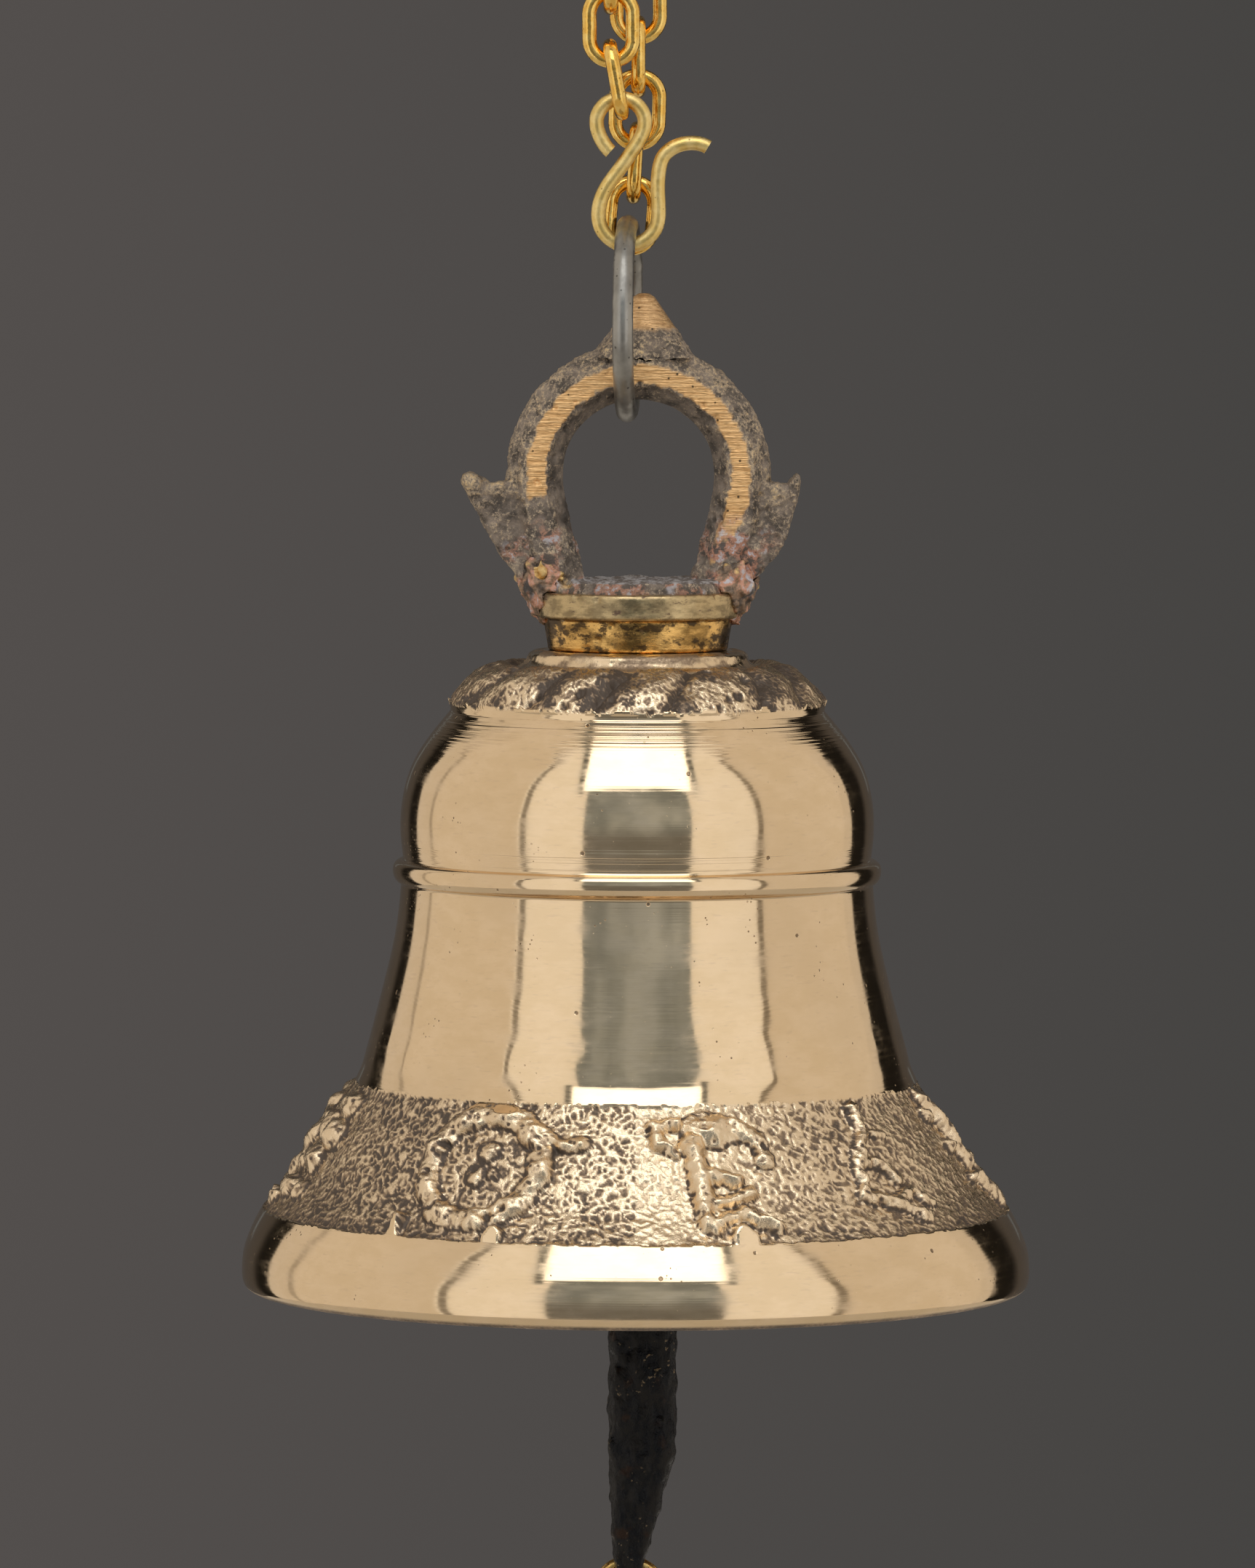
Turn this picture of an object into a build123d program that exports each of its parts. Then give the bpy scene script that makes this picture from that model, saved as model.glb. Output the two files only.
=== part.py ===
from build123d import *
import math
import os

# Temple bell: a bronze bell with a brazed-on crown loop, hung by a welded steel ring from a doubled
# brass chain that an S-hook closes, with a forged iron clapper and a pull ring.
# Millimetres, +Z up, X to the right seen from the front, origin at the hook's seat in the top link.

# Chain: welded oval links of round wire
LINK_WIRE = 2.8
LINK_INNER_LENGTH = 10.3
LINK_INNER_WIDTH = 5.5
LINK_PLAY = 0.12                       # running gap between two links that pull on each other
LINK_PITCH = LINK_INNER_LENGTH - LINK_PLAY
LINK_BOW_R = (LINK_INNER_WIDTH + LINK_WIRE) / 2
LINK_STRAIGHT = LINK_INNER_LENGTH - LINK_INNER_WIDTH
TOP_LINK_TILT = 55                     # degrees, rear end up, because the two strands differ by half a link
REAR_SEAT_Y = 1.1                      # the rear strand sits this far along the top link's rear bow
REAR_SEAT_Z = -0.53

# Where the strands run, as (x, y) of each contact from the top link downwards
FRONT_STRAND = [(-1.4, -3.5), (-2.2, -3.4), (-2.7, -3.3), (-2.9, -3.2), (-2.8, -3.0), (-0.95, -2.7)]
REAR_STRAND = [(1.3, 4.5), (1.8, 4.7), (2.1, 4.8), (2.3, 4.9), (2.4, 5.0), (2.4, 5.0), (2.1, 5.0),
               (1.6, 4.7), (0.85, 2.5)]

# S-hook, bent from one brass rod in a plane parallel to XZ
S_HOOK_WIRE = 2.8
S_HOOK_EYE_R = 4.65                    # to the wire's centre
S_HOOK_BOWL_R = 5.8
S_HOOK_BOWL_DROP = 17.6                # eye centre to bowl centre
S_HOOK_BOWL_X = 1.55                   # bowl centre to the right of the eye centre

# Welded steel ring between the S-hook and the crown loop
RING_WIRE = 4.0
RING_R = 17.9                          # to the wire's centre
RING_X = 0.5
RING_PLAY = 0.15
RING_YAW = math.radians(3)            # the ring hangs turned a little, its front to the left

# Bell axis, in from the hanging point
BELL_X = 2.7
BELL_Y = 0.0

# Crown loop, heights above the mouth plane
LOOP_CENTRE_H = 157.7
LOOP_INNER_R = 14.6
LOOP_OUTER_R = 25.3
LOOP_DEPTH = 12.6
LOOP_FOOT_X = 15.4                     # each leg's middle, out from the bell's axis
THORN_DEPTH = 8.4
LOOP_FACET = 4.0                       # flat strip left on the loop's front and back
LOOP_OUTER_EDGE = 5.2                  # depth of the section at its outer edge
LOOP_INNER_EDGE = 3.2                  # and at its inner edge, where it sits in the ring
PLINTH_H = 137.7
PLINTH_R = 17.6
PEAK_X = 0.9
PEAK_H = 192.8

# Collar and disc between the loop and the bell
COLLAR_TOP_H = 135.5
COLLAR_STEP_H = 130.6
COLLAR_BASE_H = 124.3
COLLAR_R = 19.5
COLLAR_WAIST_R = 17.3
COLLAR_UNDER_R = 18.2                  # just below the step
DISC_R = 21.5
DISC_TOP_H = 123.6
DISC_LOW_H = 122.4

# Braze lumps round the loop's feet
BRAZE_X = 16.8
BRAZE_H = 135.8
BRAZE_LENGTH = 18.0
BRAZE_WIDTH = 11.0
BRAZE_SPREAD = 1.5                     # wider fore and aft, where it laps round the loop's foot
BRAZE_LEAN = math.radians(28)

# Bell inside
CROWN_INSIDE_H = 112.6

# Petal ring on the shoulder
PETALS = 17
PETAL_R = 36.4
PETAL_LENGTH = 11.2
PETAL_WIDTH = 13.2
PETAL_TOP_H = 121.1
PETAL_LOW_H = 112.6
PETAL_THICKNESS = 5.6

# Clapper and its fittings
STAPLE_WIRE = 5.0
STAPLE_HALF = 7.5                      # half the distance between its legs
STAPLE_TOP_H = 123.7
STAPLE_SEAT_H = 99.0
CLAPPER_LINK_R = 8.0
CLAPPER_LINK_WIRE = 4.0
CLAPPER_PLAY = 0.5
CLAPPER_EYE_PLAY = 1.0
CLAPPER_EYE_RIM = 4.0
CLAPPER_EYE_DEPTH = 5.6
CLAPPER_X = 1.5                        # the forged bar stands a little to the right of the bell's axis
CLAPPER_BAR = 13.0
CLAPPER_BALL_R = 12.0
CLAPPER_BALL_H = 13.0
TAIL_WIDTH = 5.4
TAIL_X = -1.1
TAIL_HOLE_H = -52.4
TAIL_HOLE_R = 2.2
TAIL_EYE_R = 5.5
PULL_RING_R = 6.0
PULL_RING_WIRE = 2.4
PULL_RING_LIFT = 0.2                   # its wire above the middle of the hole


def export(name, node):
    """Label one finished piece and write it under its own name."""
    node.label = name
    export_step(node, f"parts/{name}.step")


def wire_ring(plane, radius, wire):
    """A closed round ring of round wire, lying in the given plane."""
    across = Plane(origin=plane.origin, x_dir=plane.x_dir, z_dir=plane.y_dir)
    with BuildPart() as ring:
        with BuildSketch(across):
            with Locations((radius, 0)):
                Circle(wire / 2)
        revolve(axis=Axis(plane.origin, plane.z_dir))
    return ring.part


def chain_link(plane):
    """One welded oval link, its length along the plane's x, its broad face in the plane."""
    half = LINK_STRAIGHT / 2
    with BuildPart() as link:
        with BuildLine(plane):
            Line((-half, LINK_BOW_R), (half, LINK_BOW_R))
            ThreePointArc((half, LINK_BOW_R), (half + LINK_BOW_R, 0), (half, -LINK_BOW_R))
            Line((half, -LINK_BOW_R), (-half, -LINK_BOW_R))
            ThreePointArc((-half, -LINK_BOW_R), (-half - LINK_BOW_R, 0), (-half, LINK_BOW_R))
        start = plane.from_local_coords(Vector(0, LINK_BOW_R, 0))
        with BuildSketch(Plane(origin=start, x_dir=plane.z_dir, z_dir=plane.x_dir)):
            Circle(LINK_WIRE / 2)
        sweep()
    return link.part


def strand(top, waypoints):
    """The contact points of a strand, from its top contact down, one link pitch apart."""
    contacts = [top]
    for x, y in waypoints:
        last = contacts[-1]
        sideways = (x - last.X) ** 2 + (y - last.Y) ** 2
        contacts.append(Vector(x, y, last.Z - math.sqrt(LINK_PITCH**2 - sideways)))
    return contacts


def hang_link(high, low, face):
    """A link between two contacts. Its face looks along the given horizontal direction."""
    along = (low - high).normalized()
    normal = (face - along * face.dot(along)).normalized()
    return chain_link(Plane(origin=(high + low) / 2, x_dir=along, z_dir=normal))


os.makedirs("parts", exist_ok=True)
FRONT = Vector(0, 1, 0)
SIDE = Vector(1, 0, 0)

# Top link: it lies across the hook in the plane of YZ, tilted, and both strands hang in it
tilt = math.radians(TOP_LINK_TILT)
uphill = Vector(0, math.cos(tilt), math.sin(tilt))
bow_offset = LINK_STRAIGHT / 2
wire_drop = (LINK_INNER_WIDTH - LINK_WIRE) / 2 - LINK_PLAY
top_centre = Vector(0, 0, -(LINK_INNER_WIDTH / 2) / math.cos(tilt))
top_link = chain_link(Plane(origin=top_centre, x_dir=uphill, z_dir=SIDE))
export("top_link", top_link)

# Front strand: six links from the top link's low end to the S-hook's eye
front_top = top_centre - uphill * bow_offset + Vector(0, 0, -wire_drop - LINK_WIRE / 2)
front = strand(front_top, FRONT_STRAND)
for index in range(6):
    face = FRONT if index % 2 == 0 else SIDE
    export(f"front_link_{index + 1}", hang_link(front[index], front[index + 1], face))

# Rear strand: nine links from the top link's high end to the steel ring
rear_wire = top_centre + uphill * bow_offset + Vector(0, REAR_SEAT_Y, REAR_SEAT_Z)
rear_top = rear_wire + Vector(0, 0, -LINK_WIRE / 2)
rear = strand(rear_top, REAR_STRAND)
for index in range(9):
    face = FRONT if index % 2 == 0 else SIDE
    export(f"rear_link_{index + 1}", hang_link(rear[index], rear[index + 1], face))

# S-hook: eye above, open bowl below, and a flared tip
eye_top = front[-1]
eye = Vector(eye_top.X, eye_top.Y, eye_top.Z + S_HOOK_WIRE / 2 - S_HOOK_EYE_R)
bowl = Vector(eye.X + S_HOOK_BOWL_X, eye.Y, eye.Z - S_HOOK_BOWL_DROP)
hook_plane = Plane(origin=bowl, x_dir=(1, 0, 0), z_dir=(0, -1, 0))
eye_u = -S_HOOK_BOWL_X
eye_v = S_HOOK_BOWL_DROP


def on_circle(u, v, radius, degrees):
    """A point of a circle in the hook's plane."""
    turn = math.radians(degrees)
    return (u + radius * math.cos(turn), v + radius * math.sin(turn))


with BuildPart() as s_hook:
    with BuildLine(hook_plane) as hook_line:
        Spline(
            (eye_u - 1.9, eye_v - 5.5),
            on_circle(eye_u, eye_v, S_HOOK_EYE_R, 205),
            on_circle(eye_u, eye_v, S_HOOK_EYE_R, 165),
            on_circle(eye_u, eye_v, S_HOOK_EYE_R, 125),
            on_circle(eye_u, eye_v, S_HOOK_EYE_R, 90),
            on_circle(eye_u, eye_v, S_HOOK_EYE_R, 55),
            on_circle(eye_u, eye_v, S_HOOK_EYE_R, 15),
            on_circle(eye_u, eye_v, S_HOOK_EYE_R, -25),
            (eye_u + 2.05, eye_v - 5.6),
            (eye_u - 0.15, eye_v - 8.8),
            (eye_u - 2.65, eye_v - 12.3),
            on_circle(0, 0, S_HOOK_BOWL_R, 168),
            on_circle(0, 0, S_HOOK_BOWL_R, 210),
            on_circle(0, 0, S_HOOK_BOWL_R, 270),
            on_circle(0, 0, S_HOOK_BOWL_R, 330),
            (S_HOOK_BOWL_R - 0.1, 3.0),
            (S_HOOK_BOWL_R - 0.05, 8.0),
            (S_HOOK_BOWL_R + 1.0, 11.4),
            (S_HOOK_BOWL_R + 3.9, 13.4),
            (S_HOOK_BOWL_R + 9.4, 13.0),
        )
    with BuildSketch(Plane(origin=hook_line.line @ 0, z_dir=hook_line.line % 0)):
        Circle(S_HOOK_WIRE / 2)
    sweep()
export("s_hook", s_hook.part)

# Steel ring: it runs through the S-hook's bowl and the last rear link, almost edge-on to the front
bowl_wire_z = bowl.Z - S_HOOK_BOWL_R
ring_reach = RING_R - RING_WIRE / 2 - S_HOOK_WIRE / 2 - RING_PLAY
ring_z = bowl_wire_z - math.sqrt(ring_reach**2 - bowl.Y**2)
ring_centre = Vector(RING_X, BELL_Y, ring_z)
to_rear = Vector(math.sin(RING_YAW), math.cos(RING_YAW), 0)
ring_face = Vector(math.cos(RING_YAW), -math.sin(RING_YAW), 0)
ring_plane = Plane(origin=ring_centre, x_dir=to_rear, z_dir=ring_face)
suspension_ring = wire_ring(ring_plane, RING_R, RING_WIRE)
export("suspension_ring", suspension_ring)

# The bell hangs with its loop's inner top on the ring's lowest wire
loop_top_z = ring_z - RING_R + RING_WIRE / 2 + RING_PLAY
loop_x = RING_X - BELL_X
MOUTH_Z = loop_top_z - LOOP_CENTRE_H - math.sqrt(LOOP_INNER_R**2 - loop_x**2)
bell_front = Plane(origin=(BELL_X, BELL_Y, MOUTH_Z), x_dir=(1, 0, 0), z_dir=(0, -1, 0))
bell_axis = Axis((BELL_X, BELL_Y, MOUTH_Z), (0, 0, 1))


def level(height):
    """The horizontal plane on the bell's axis at a height above the mouth."""
    return Plane(origin=(BELL_X, BELL_Y, MOUTH_Z + height))


# Clapper staple: an iron U set in the crown, its ends under the collar
with BuildPart() as clapper_staple:
    with BuildLine(bell_front) as staple_line:
        leg = Line((-STAPLE_HALF, STAPLE_TOP_H), (-STAPLE_HALF, STAPLE_SEAT_H + STAPLE_HALF))
        bend = ThreePointArc(leg @ 1, (0, STAPLE_SEAT_H), (STAPLE_HALF, STAPLE_SEAT_H + STAPLE_HALF))
        Line(bend @ 1, (STAPLE_HALF, STAPLE_TOP_H))
    with BuildSketch(Plane(origin=staple_line.line @ 0, z_dir=(0, 0, -1))):
        Circle(STAPLE_WIRE / 2)
    sweep()
export("clapper_staple", clapper_staple.part)

# Bell body: one hollow casting, turned outside, with the rough petal ring and band left as cast
with BuildPart() as bell_body:
    with BuildSketch(bell_front):
        with BuildLine():
            disc = Polyline((0, COLLAR_BASE_H), (DISC_R - 0.7, COLLAR_BASE_H), (DISC_R, DISC_TOP_H),
                            (DISC_R, DISC_LOW_H), (DISC_R + 1.3, PETAL_TOP_H))
            shoulder = Spline(disc @ 1, (29.6, 118.9), (33.8, 115.2), (37.2, 111.0), (40.6, 106.6),
                              (43.3, 102.4), (44.8, 98.0), (45.5, 92.8), (45.5, 88.4), (45.0, 84.0))
            bead = ThreePointArc(shoulder @ 1, (46.8, 81.6), (45.4, 79.2))
            waist = Spline(bead @ 1, (46.1, 71.0), (48.0, 61.6), (50.2, 52.6), (52.0, 47.0), (53.9, 41.4))
            band = Spline(waist @ 1, (56.1, 38.4), (59.8, 33.2), (63.8, 27.0), (67.6, 21.4), (71.8, 17.2))
            lip = Spline(band @ 1, (73.9, 13.9), (75.3, 9.6), (75.7, 5.4), (75.1, 2.6), (73.4, 0.5),
                         (71.6, 0.0))
            rim = Line(lip @ 1, (68.6, 0.0))
            inside = Spline(rim @ 1, (64.8, 4.5), (60.6, 14.0), (53.9, 28.0), (46.4, 42.0), (42.2, 58.0),
                            (40.4, 76.0), (39.6, 92.0), (36.4, 102.0), (28.8, 109.4), (16.0, CROWN_INSIDE_H))
            Polyline(inside @ 1, (0, CROWN_INSIDE_H), (0, COLLAR_BASE_H))
        make_face()
    revolve(axis=bell_axis)
    with BuildSketch(level(PETAL_LOW_H)):
        with PolarLocations(PETAL_R - PETAL_LENGTH / 2, PETALS, start_angle=360 / PETALS / 2):
            Ellipse(PETAL_LENGTH / 2, PETAL_WIDTH / 2)
    extrude(amount=PETAL_THICKNESS)
    add(clapper_staple.part, mode=Mode.SUBTRACT)
export("bell_body", bell_body.part)

# Crown collar: a turned two-step ring between the bell's disc and the loop
with BuildPart() as crown_collar:
    with BuildSketch(bell_front):
        with BuildLine():
            Polyline((0, COLLAR_BASE_H), (COLLAR_WAIST_R, COLLAR_BASE_H), (COLLAR_UNDER_R, COLLAR_STEP_H),
                     (COLLAR_R, COLLAR_STEP_H + 0.4), (COLLAR_R, COLLAR_TOP_H - 0.5),
                     (COLLAR_R - 0.5, COLLAR_TOP_H), (0, COLLAR_TOP_H), close=True)
        make_face()
    revolve(axis=bell_axis)
export("crown_collar", crown_collar.part)

# Crown loop: one rough casting with a plinth, two legs, side thorns and a ground peak
loop_r = (LOOP_INNER_R + LOOP_OUTER_R) / 2
loop_w = (LOOP_OUTER_R - LOOP_INNER_R) / 2
foot_h = COLLAR_TOP_H + 0.4
leg_h = 142.4
leg_x = LOOP_FOOT_X + 1.6
with BuildPart() as crown_loop:
    with BuildLine(bell_front) as loop_line:
        Spline(
            (-LOOP_FOOT_X, foot_h),
            (-leg_x, leg_h),
            on_circle(0, LOOP_CENTRE_H, loop_r, 192),
            on_circle(0, LOOP_CENTRE_H, loop_r, 160),
            on_circle(0, LOOP_CENTRE_H, loop_r, 125),
            on_circle(0, LOOP_CENTRE_H, loop_r, 90),
            on_circle(0, LOOP_CENTRE_H, loop_r, 55),
            on_circle(0, LOOP_CENTRE_H, loop_r, 20),
            on_circle(0, LOOP_CENTRE_H, loop_r, -12),
            (leg_x, leg_h),
            (LOOP_FOOT_X, foot_h),
        )
    with BuildSketch(Plane(origin=loop_line.line @ 0, x_dir=(1, 0, 0), z_dir=loop_line.line % 0)):
        with BuildLine():
            Polyline((-loop_w, -LOOP_OUTER_EDGE / 2), (-LOOP_FACET / 2, -LOOP_DEPTH / 2),
                     (LOOP_FACET / 2, -LOOP_DEPTH / 2), (loop_w, -LOOP_INNER_EDGE / 2),
                     (loop_w, LOOP_INNER_EDGE / 2), (LOOP_FACET / 2, LOOP_DEPTH / 2),
                     (-LOOP_FACET / 2, LOOP_DEPTH / 2), (-loop_w, LOOP_OUTER_EDGE / 2), close=True)
        make_face()
    sweep()
    with BuildSketch(level(COLLAR_TOP_H)):
        Circle(PLINTH_R)
    extrude(amount=PLINTH_H - COLLAR_TOP_H, taper=12)
    for side in (-1, 1):
        with BuildSketch(bell_front):
            Polygon((side * 22.5, 157.0), (side * 28.5, 155.6), (side * 32.8, 157.4), (side * 31.6, 153.4),
                    (side * 29.0, 147.0), (side * 26.8, 143.0), (side * 22.6, 138.2), (side * 18.6, 136.2),
                    (side * 17.0, 146.0), align=None)
        extrude(amount=THORN_DEPTH / 2, both=True)
    with BuildSketch(bell_front):
        with BuildLine():
            Polyline((PEAK_X, 179.3), (PEAK_X + 10.2, 180.4), (PEAK_X + 6.4, 185.8),
                     (PEAK_X + 2.1, PEAK_H - 0.7), (PEAK_X + 1.0, PEAK_H), (PEAK_X, PEAK_H), close=True)
        make_face()
    revolve(axis=Axis((BELL_X + PEAK_X, BELL_Y, MOUTH_Z), (0, 0, 1)))
    split(bisect_by=level(COLLAR_TOP_H), keep=Keep.TOP)
export("crown_loop", crown_loop.part)

# Braze: two lumps run round the loop's feet and over the collar's sides
for side, name in ((-1, "braze_left"), (1, "braze_right")):
    lump_centre = bell_front.from_local_coords(Vector(side * BRAZE_X, BRAZE_H, 0))
    lump_up = Vector(side * math.sin(BRAZE_LEAN), 0, math.cos(BRAZE_LEAN))
    lump_plane = Plane(origin=lump_centre, x_dir=lump_up, z_dir=(0, -1, 0))
    with BuildPart() as braze:
        with BuildSketch(lump_plane):
            with BuildLine():
                outline = EllipticalCenterArc((0, 0), BRAZE_LENGTH / 2, BRAZE_WIDTH / 2, arc_size=180)
                Line(outline @ 1, outline @ 0)
            make_face()
        revolve(axis=Axis(lump_centre, lump_up))
        scale(by=(1, BRAZE_SPREAD, 1))
        add(crown_loop.part, mode=Mode.SUBTRACT)
        add(crown_collar.part, mode=Mode.SUBTRACT)
        add(bell_body.part, mode=Mode.SUBTRACT)
    export(name, braze.part.solids().sort_by(SortBy.VOLUME)[-1])

# Clapper link: an iron ring on the staple, standing fore and aft
link_bow_h = STAPLE_SEAT_H + STAPLE_WIRE / 2 + CLAPPER_PLAY + CLAPPER_LINK_WIRE / 2
link_centre = bell_front.from_local_coords(Vector(0, link_bow_h - CLAPPER_LINK_R, 0))
clapper_link = wire_ring(Plane(origin=link_centre, x_dir=(0, 1, 0), z_dir=(1, 0, 0)),
                         CLAPPER_LINK_R, CLAPPER_LINK_WIRE)
export("clapper_link", clapper_link)

# Clapper: a forged iron bar with an eye, a striking ball and a flattened tail with a cross hole
link_low_h = link_bow_h - 2 * CLAPPER_LINK_R
eye_bore_r = CLAPPER_LINK_WIRE / 2 + CLAPPER_EYE_PLAY
eye_h = link_low_h - CLAPPER_LINK_WIRE / 2 - CLAPPER_PLAY + eye_bore_r
# The bar's sections from the top down, as (x, width, depth, height)
CLAPPER_SECTIONS = [
    (0, 7.0, 5.2, eye_h - eye_bore_r - 1.5),
    (0, 9.0, 8.0, 60.0),
    (CLAPPER_X, CLAPPER_BAR, 11.0, 20.0),
    (CLAPPER_X, CLAPPER_BAR, 11.0, -31.0),
    (TAIL_X, TAIL_WIDTH, 11.0, TAIL_HOLE_H),
]
with BuildPart() as clapper:
    with BuildSketch(bell_front):
        with Locations((0, eye_h)):
            Circle(eye_bore_r + CLAPPER_EYE_RIM)
    extrude(amount=CLAPPER_EYE_DEPTH / 2, both=True)
    for low, high in zip(CLAPPER_SECTIONS, CLAPPER_SECTIONS[1:]):
        for x, wide, deep, height in (low, high):
            with BuildSketch(level(height)):
                with Locations((x, 0)):
                    RectangleRounded(wide, deep, min(wide, deep) * 0.28)
        loft()
    with BuildSketch(bell_front):
        with BuildLine():
            ball = ThreePointArc((CLAPPER_X, CLAPPER_BALL_H + CLAPPER_BALL_R),
                                 (CLAPPER_X + CLAPPER_BALL_R, CLAPPER_BALL_H),
                                 (CLAPPER_X, CLAPPER_BALL_H - CLAPPER_BALL_R))
            Line(ball @ 1, ball @ 0)
        make_face()
    revolve(axis=Axis((BELL_X + CLAPPER_X, BELL_Y, MOUTH_Z), (0, 0, 1)))
    tail_side = Plane(origin=bell_front.from_local_coords(Vector(TAIL_X, TAIL_HOLE_H, 0)),
                      x_dir=(0, 1, 0), z_dir=(1, 0, 0))
    with BuildSketch(tail_side):
        Circle(TAIL_EYE_R)
    extrude(amount=TAIL_WIDTH / 2, both=True)
    with BuildSketch(tail_side):
        Circle(TAIL_HOLE_R)
    extrude(amount=TAIL_WIDTH, both=True, mode=Mode.SUBTRACT)
    with BuildSketch(bell_front):
        with Locations((0, eye_h)):
            Circle(eye_bore_r)
    extrude(amount=CLAPPER_EYE_DEPTH, both=True, mode=Mode.SUBTRACT)
export("clapper", clapper.part)

# Pull ring: brass, hanging in the tail's hole
pull_wire_h = TAIL_HOLE_H + PULL_RING_LIFT
pull_centre = bell_front.from_local_coords(Vector(TAIL_X, pull_wire_h - PULL_RING_R, 0))
pull_plane = Plane(origin=pull_centre, x_dir=(1, 0, 0), z_dir=(0, -1, 0))
pull_ring = wire_ring(pull_plane, PULL_RING_R, PULL_RING_WIRE)
export("pull_ring", pull_ring)
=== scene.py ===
import math

import bmesh
import bpy
import numpy as np
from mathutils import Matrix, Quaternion, Vector


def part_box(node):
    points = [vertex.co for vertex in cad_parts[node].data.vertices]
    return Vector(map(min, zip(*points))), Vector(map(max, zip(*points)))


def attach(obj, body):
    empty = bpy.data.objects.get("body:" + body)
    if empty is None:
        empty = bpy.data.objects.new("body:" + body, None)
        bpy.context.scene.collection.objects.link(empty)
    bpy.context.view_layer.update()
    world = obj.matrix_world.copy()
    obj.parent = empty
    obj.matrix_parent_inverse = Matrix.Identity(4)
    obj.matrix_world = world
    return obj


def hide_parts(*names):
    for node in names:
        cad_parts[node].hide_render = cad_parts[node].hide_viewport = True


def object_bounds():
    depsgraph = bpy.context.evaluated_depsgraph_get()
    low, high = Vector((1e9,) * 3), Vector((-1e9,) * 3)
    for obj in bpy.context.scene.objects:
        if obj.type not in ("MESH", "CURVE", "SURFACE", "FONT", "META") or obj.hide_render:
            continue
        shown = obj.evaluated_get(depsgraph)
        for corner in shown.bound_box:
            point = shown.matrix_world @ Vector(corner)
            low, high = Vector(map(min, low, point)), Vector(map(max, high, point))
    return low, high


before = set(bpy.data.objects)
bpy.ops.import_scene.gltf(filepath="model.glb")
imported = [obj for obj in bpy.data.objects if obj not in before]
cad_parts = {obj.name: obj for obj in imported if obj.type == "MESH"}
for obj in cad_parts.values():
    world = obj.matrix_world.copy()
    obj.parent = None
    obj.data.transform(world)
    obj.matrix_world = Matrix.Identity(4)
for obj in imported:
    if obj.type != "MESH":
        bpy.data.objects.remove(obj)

# A hanging temple bell. The polished bronze is turned on a lathe. The petal ring and the band are left as
# cast, and where the tool just reached them their high points are cut flush and bright.
# Shapes are worked out in millimetres above the bell's mouth and round its axis, then placed in the frame.

MM = 0.001
CAD_BOX = [list(corner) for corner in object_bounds()]
BELL_LOW, BELL_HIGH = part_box("bell_body")
BELL_ORIGIN = np.array([(BELL_LOW.x + BELL_HIGH.x) / 2, (BELL_LOW.y + BELL_HIGH.y) / 2, BELL_LOW.z])

# Camera and studio
VIEW_ELEVATION = math.radians(3.5)
CAMERA_ROLL = math.radians(0.2)
CAMERA_DISTANCE = 1.95
VIEW_HEIGHT = 0.3018                   # metres seen from top to bottom at the bell's axis
AIM_RIGHT = -1.9                       # the view's centre, mm from the bell's axis and above its mouth
AIM_HEIGHT = 98.4
FLOOR_DROP = 0.26                      # floor below the lowest piece
FLOOR_R = 0.9
FLOOR_SIDES = 96

# The light tent, in degrees round from the camera (right is positive) and degrees up from level
GAP_HALF = 25.6                        # half the opening in the tent that the camera looks through
SIDE_FROM = 60.0
BACK_FROM = 120.0
TENT_SEAMS = ((-57.6, 1.0, 0.8), (62.4, 1.0, 0.8), (-120.0, 0.8, 0.45))  # place, half width, darkness
DARK_FROM_LEFT = 135.0                 # the tent ends here on each side
DARK_FROM_RIGHT = 128.0
BACKDROP_FROM = 143.0
BOX_LOW = 33.5                         # the soft box, from its lower to its upper edge
BOX_HIGH = 71.0
BOOM_HIGH = 80.0                       # the arm over the soft box
CLUTTER_DARK, CLUTTER_PALE = (0.22, 0.250, 0.275), (0.42, 0.465, 0.505)
LEVEL_SHADE, HIGH_SHADE = (0.15, 0.145, 0.140), (0.16, 0.190, 0.210)
TENT_NEAR, TENT_SIDE, TENT_BACK = (0.94, 0.905, 0.87), (0.71, 0.645, 0.57), (0.66, 0.60, 0.53)
SEAM_BROWN, BLACK_FLAG, BACKDROP_DIM = (0.10, 0.085, 0.07), (0.012, 0.011, 0.010), (0.072, 0.064, 0.058)
FRAME_GREY, BOOM_GREY, BOX_WHITE = (0.13, 0.14, 0.145), (0.20, 0.205, 0.21), (2.5, 2.5, 2.5)
# The backdrop the camera sees, with painted light falloff from the left to the right.
BACKDROP_LEFT, BACKDROP_RIGHT = (0.086, 0.0775, 0.0735), (0.0615, 0.0585, 0.0555)

# Outline of the bell as (radius, height above the mouth), from the crown down
DISC_EDGE = [(18.6, 124.3), (20.4, 124.0), (21.1, 123.4), (21.3, 122.6), (21.7, 121.9), (22.8, 121.2)]
SHOULDER = [(22.8, 121.2), (26.2, 120.3), (30.0, 118.4), (33.6, 115.4), (36.4, 112.1)]
DOME = [(36.4, 112.1), (40.6, 106.8), (43.2, 102.4), (44.7, 98.0), (45.5, 92.8), (45.5, 88.4), (45.0, 83.9)]
BEAD = [(45.0, 83.9), (45.8, 83.8), (46.7, 83.1), (47.0, 81.8), (46.7, 80.4), (45.9, 79.5), (45.4, 79.3)]
WAIST = [(45.4, 79.3), (46.3, 71.0), (48.3, 61.6), (50.6, 52.6), (52.0, 47.2), (52.9, 44.1), (54.1, 41.4)]
BAND = [(54.1, 41.4), (56.1, 38.2), (59.7, 33.0), (63.4, 26.9), (67.2, 21.4), (71.7, 17.2)]
LIP = [(71.7, 17.2), (73.3, 14.4), (74.6, 11.5), (75.55, 8.6), (75.9, 5.6), (75.85, 3.4), (75.4, 2.0),
       (74.5, 1.3), (73.3, 1.05), (71.8, 1.0)]
RIM = [(71.8, 1.0), (68.8, 1.0)]
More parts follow.
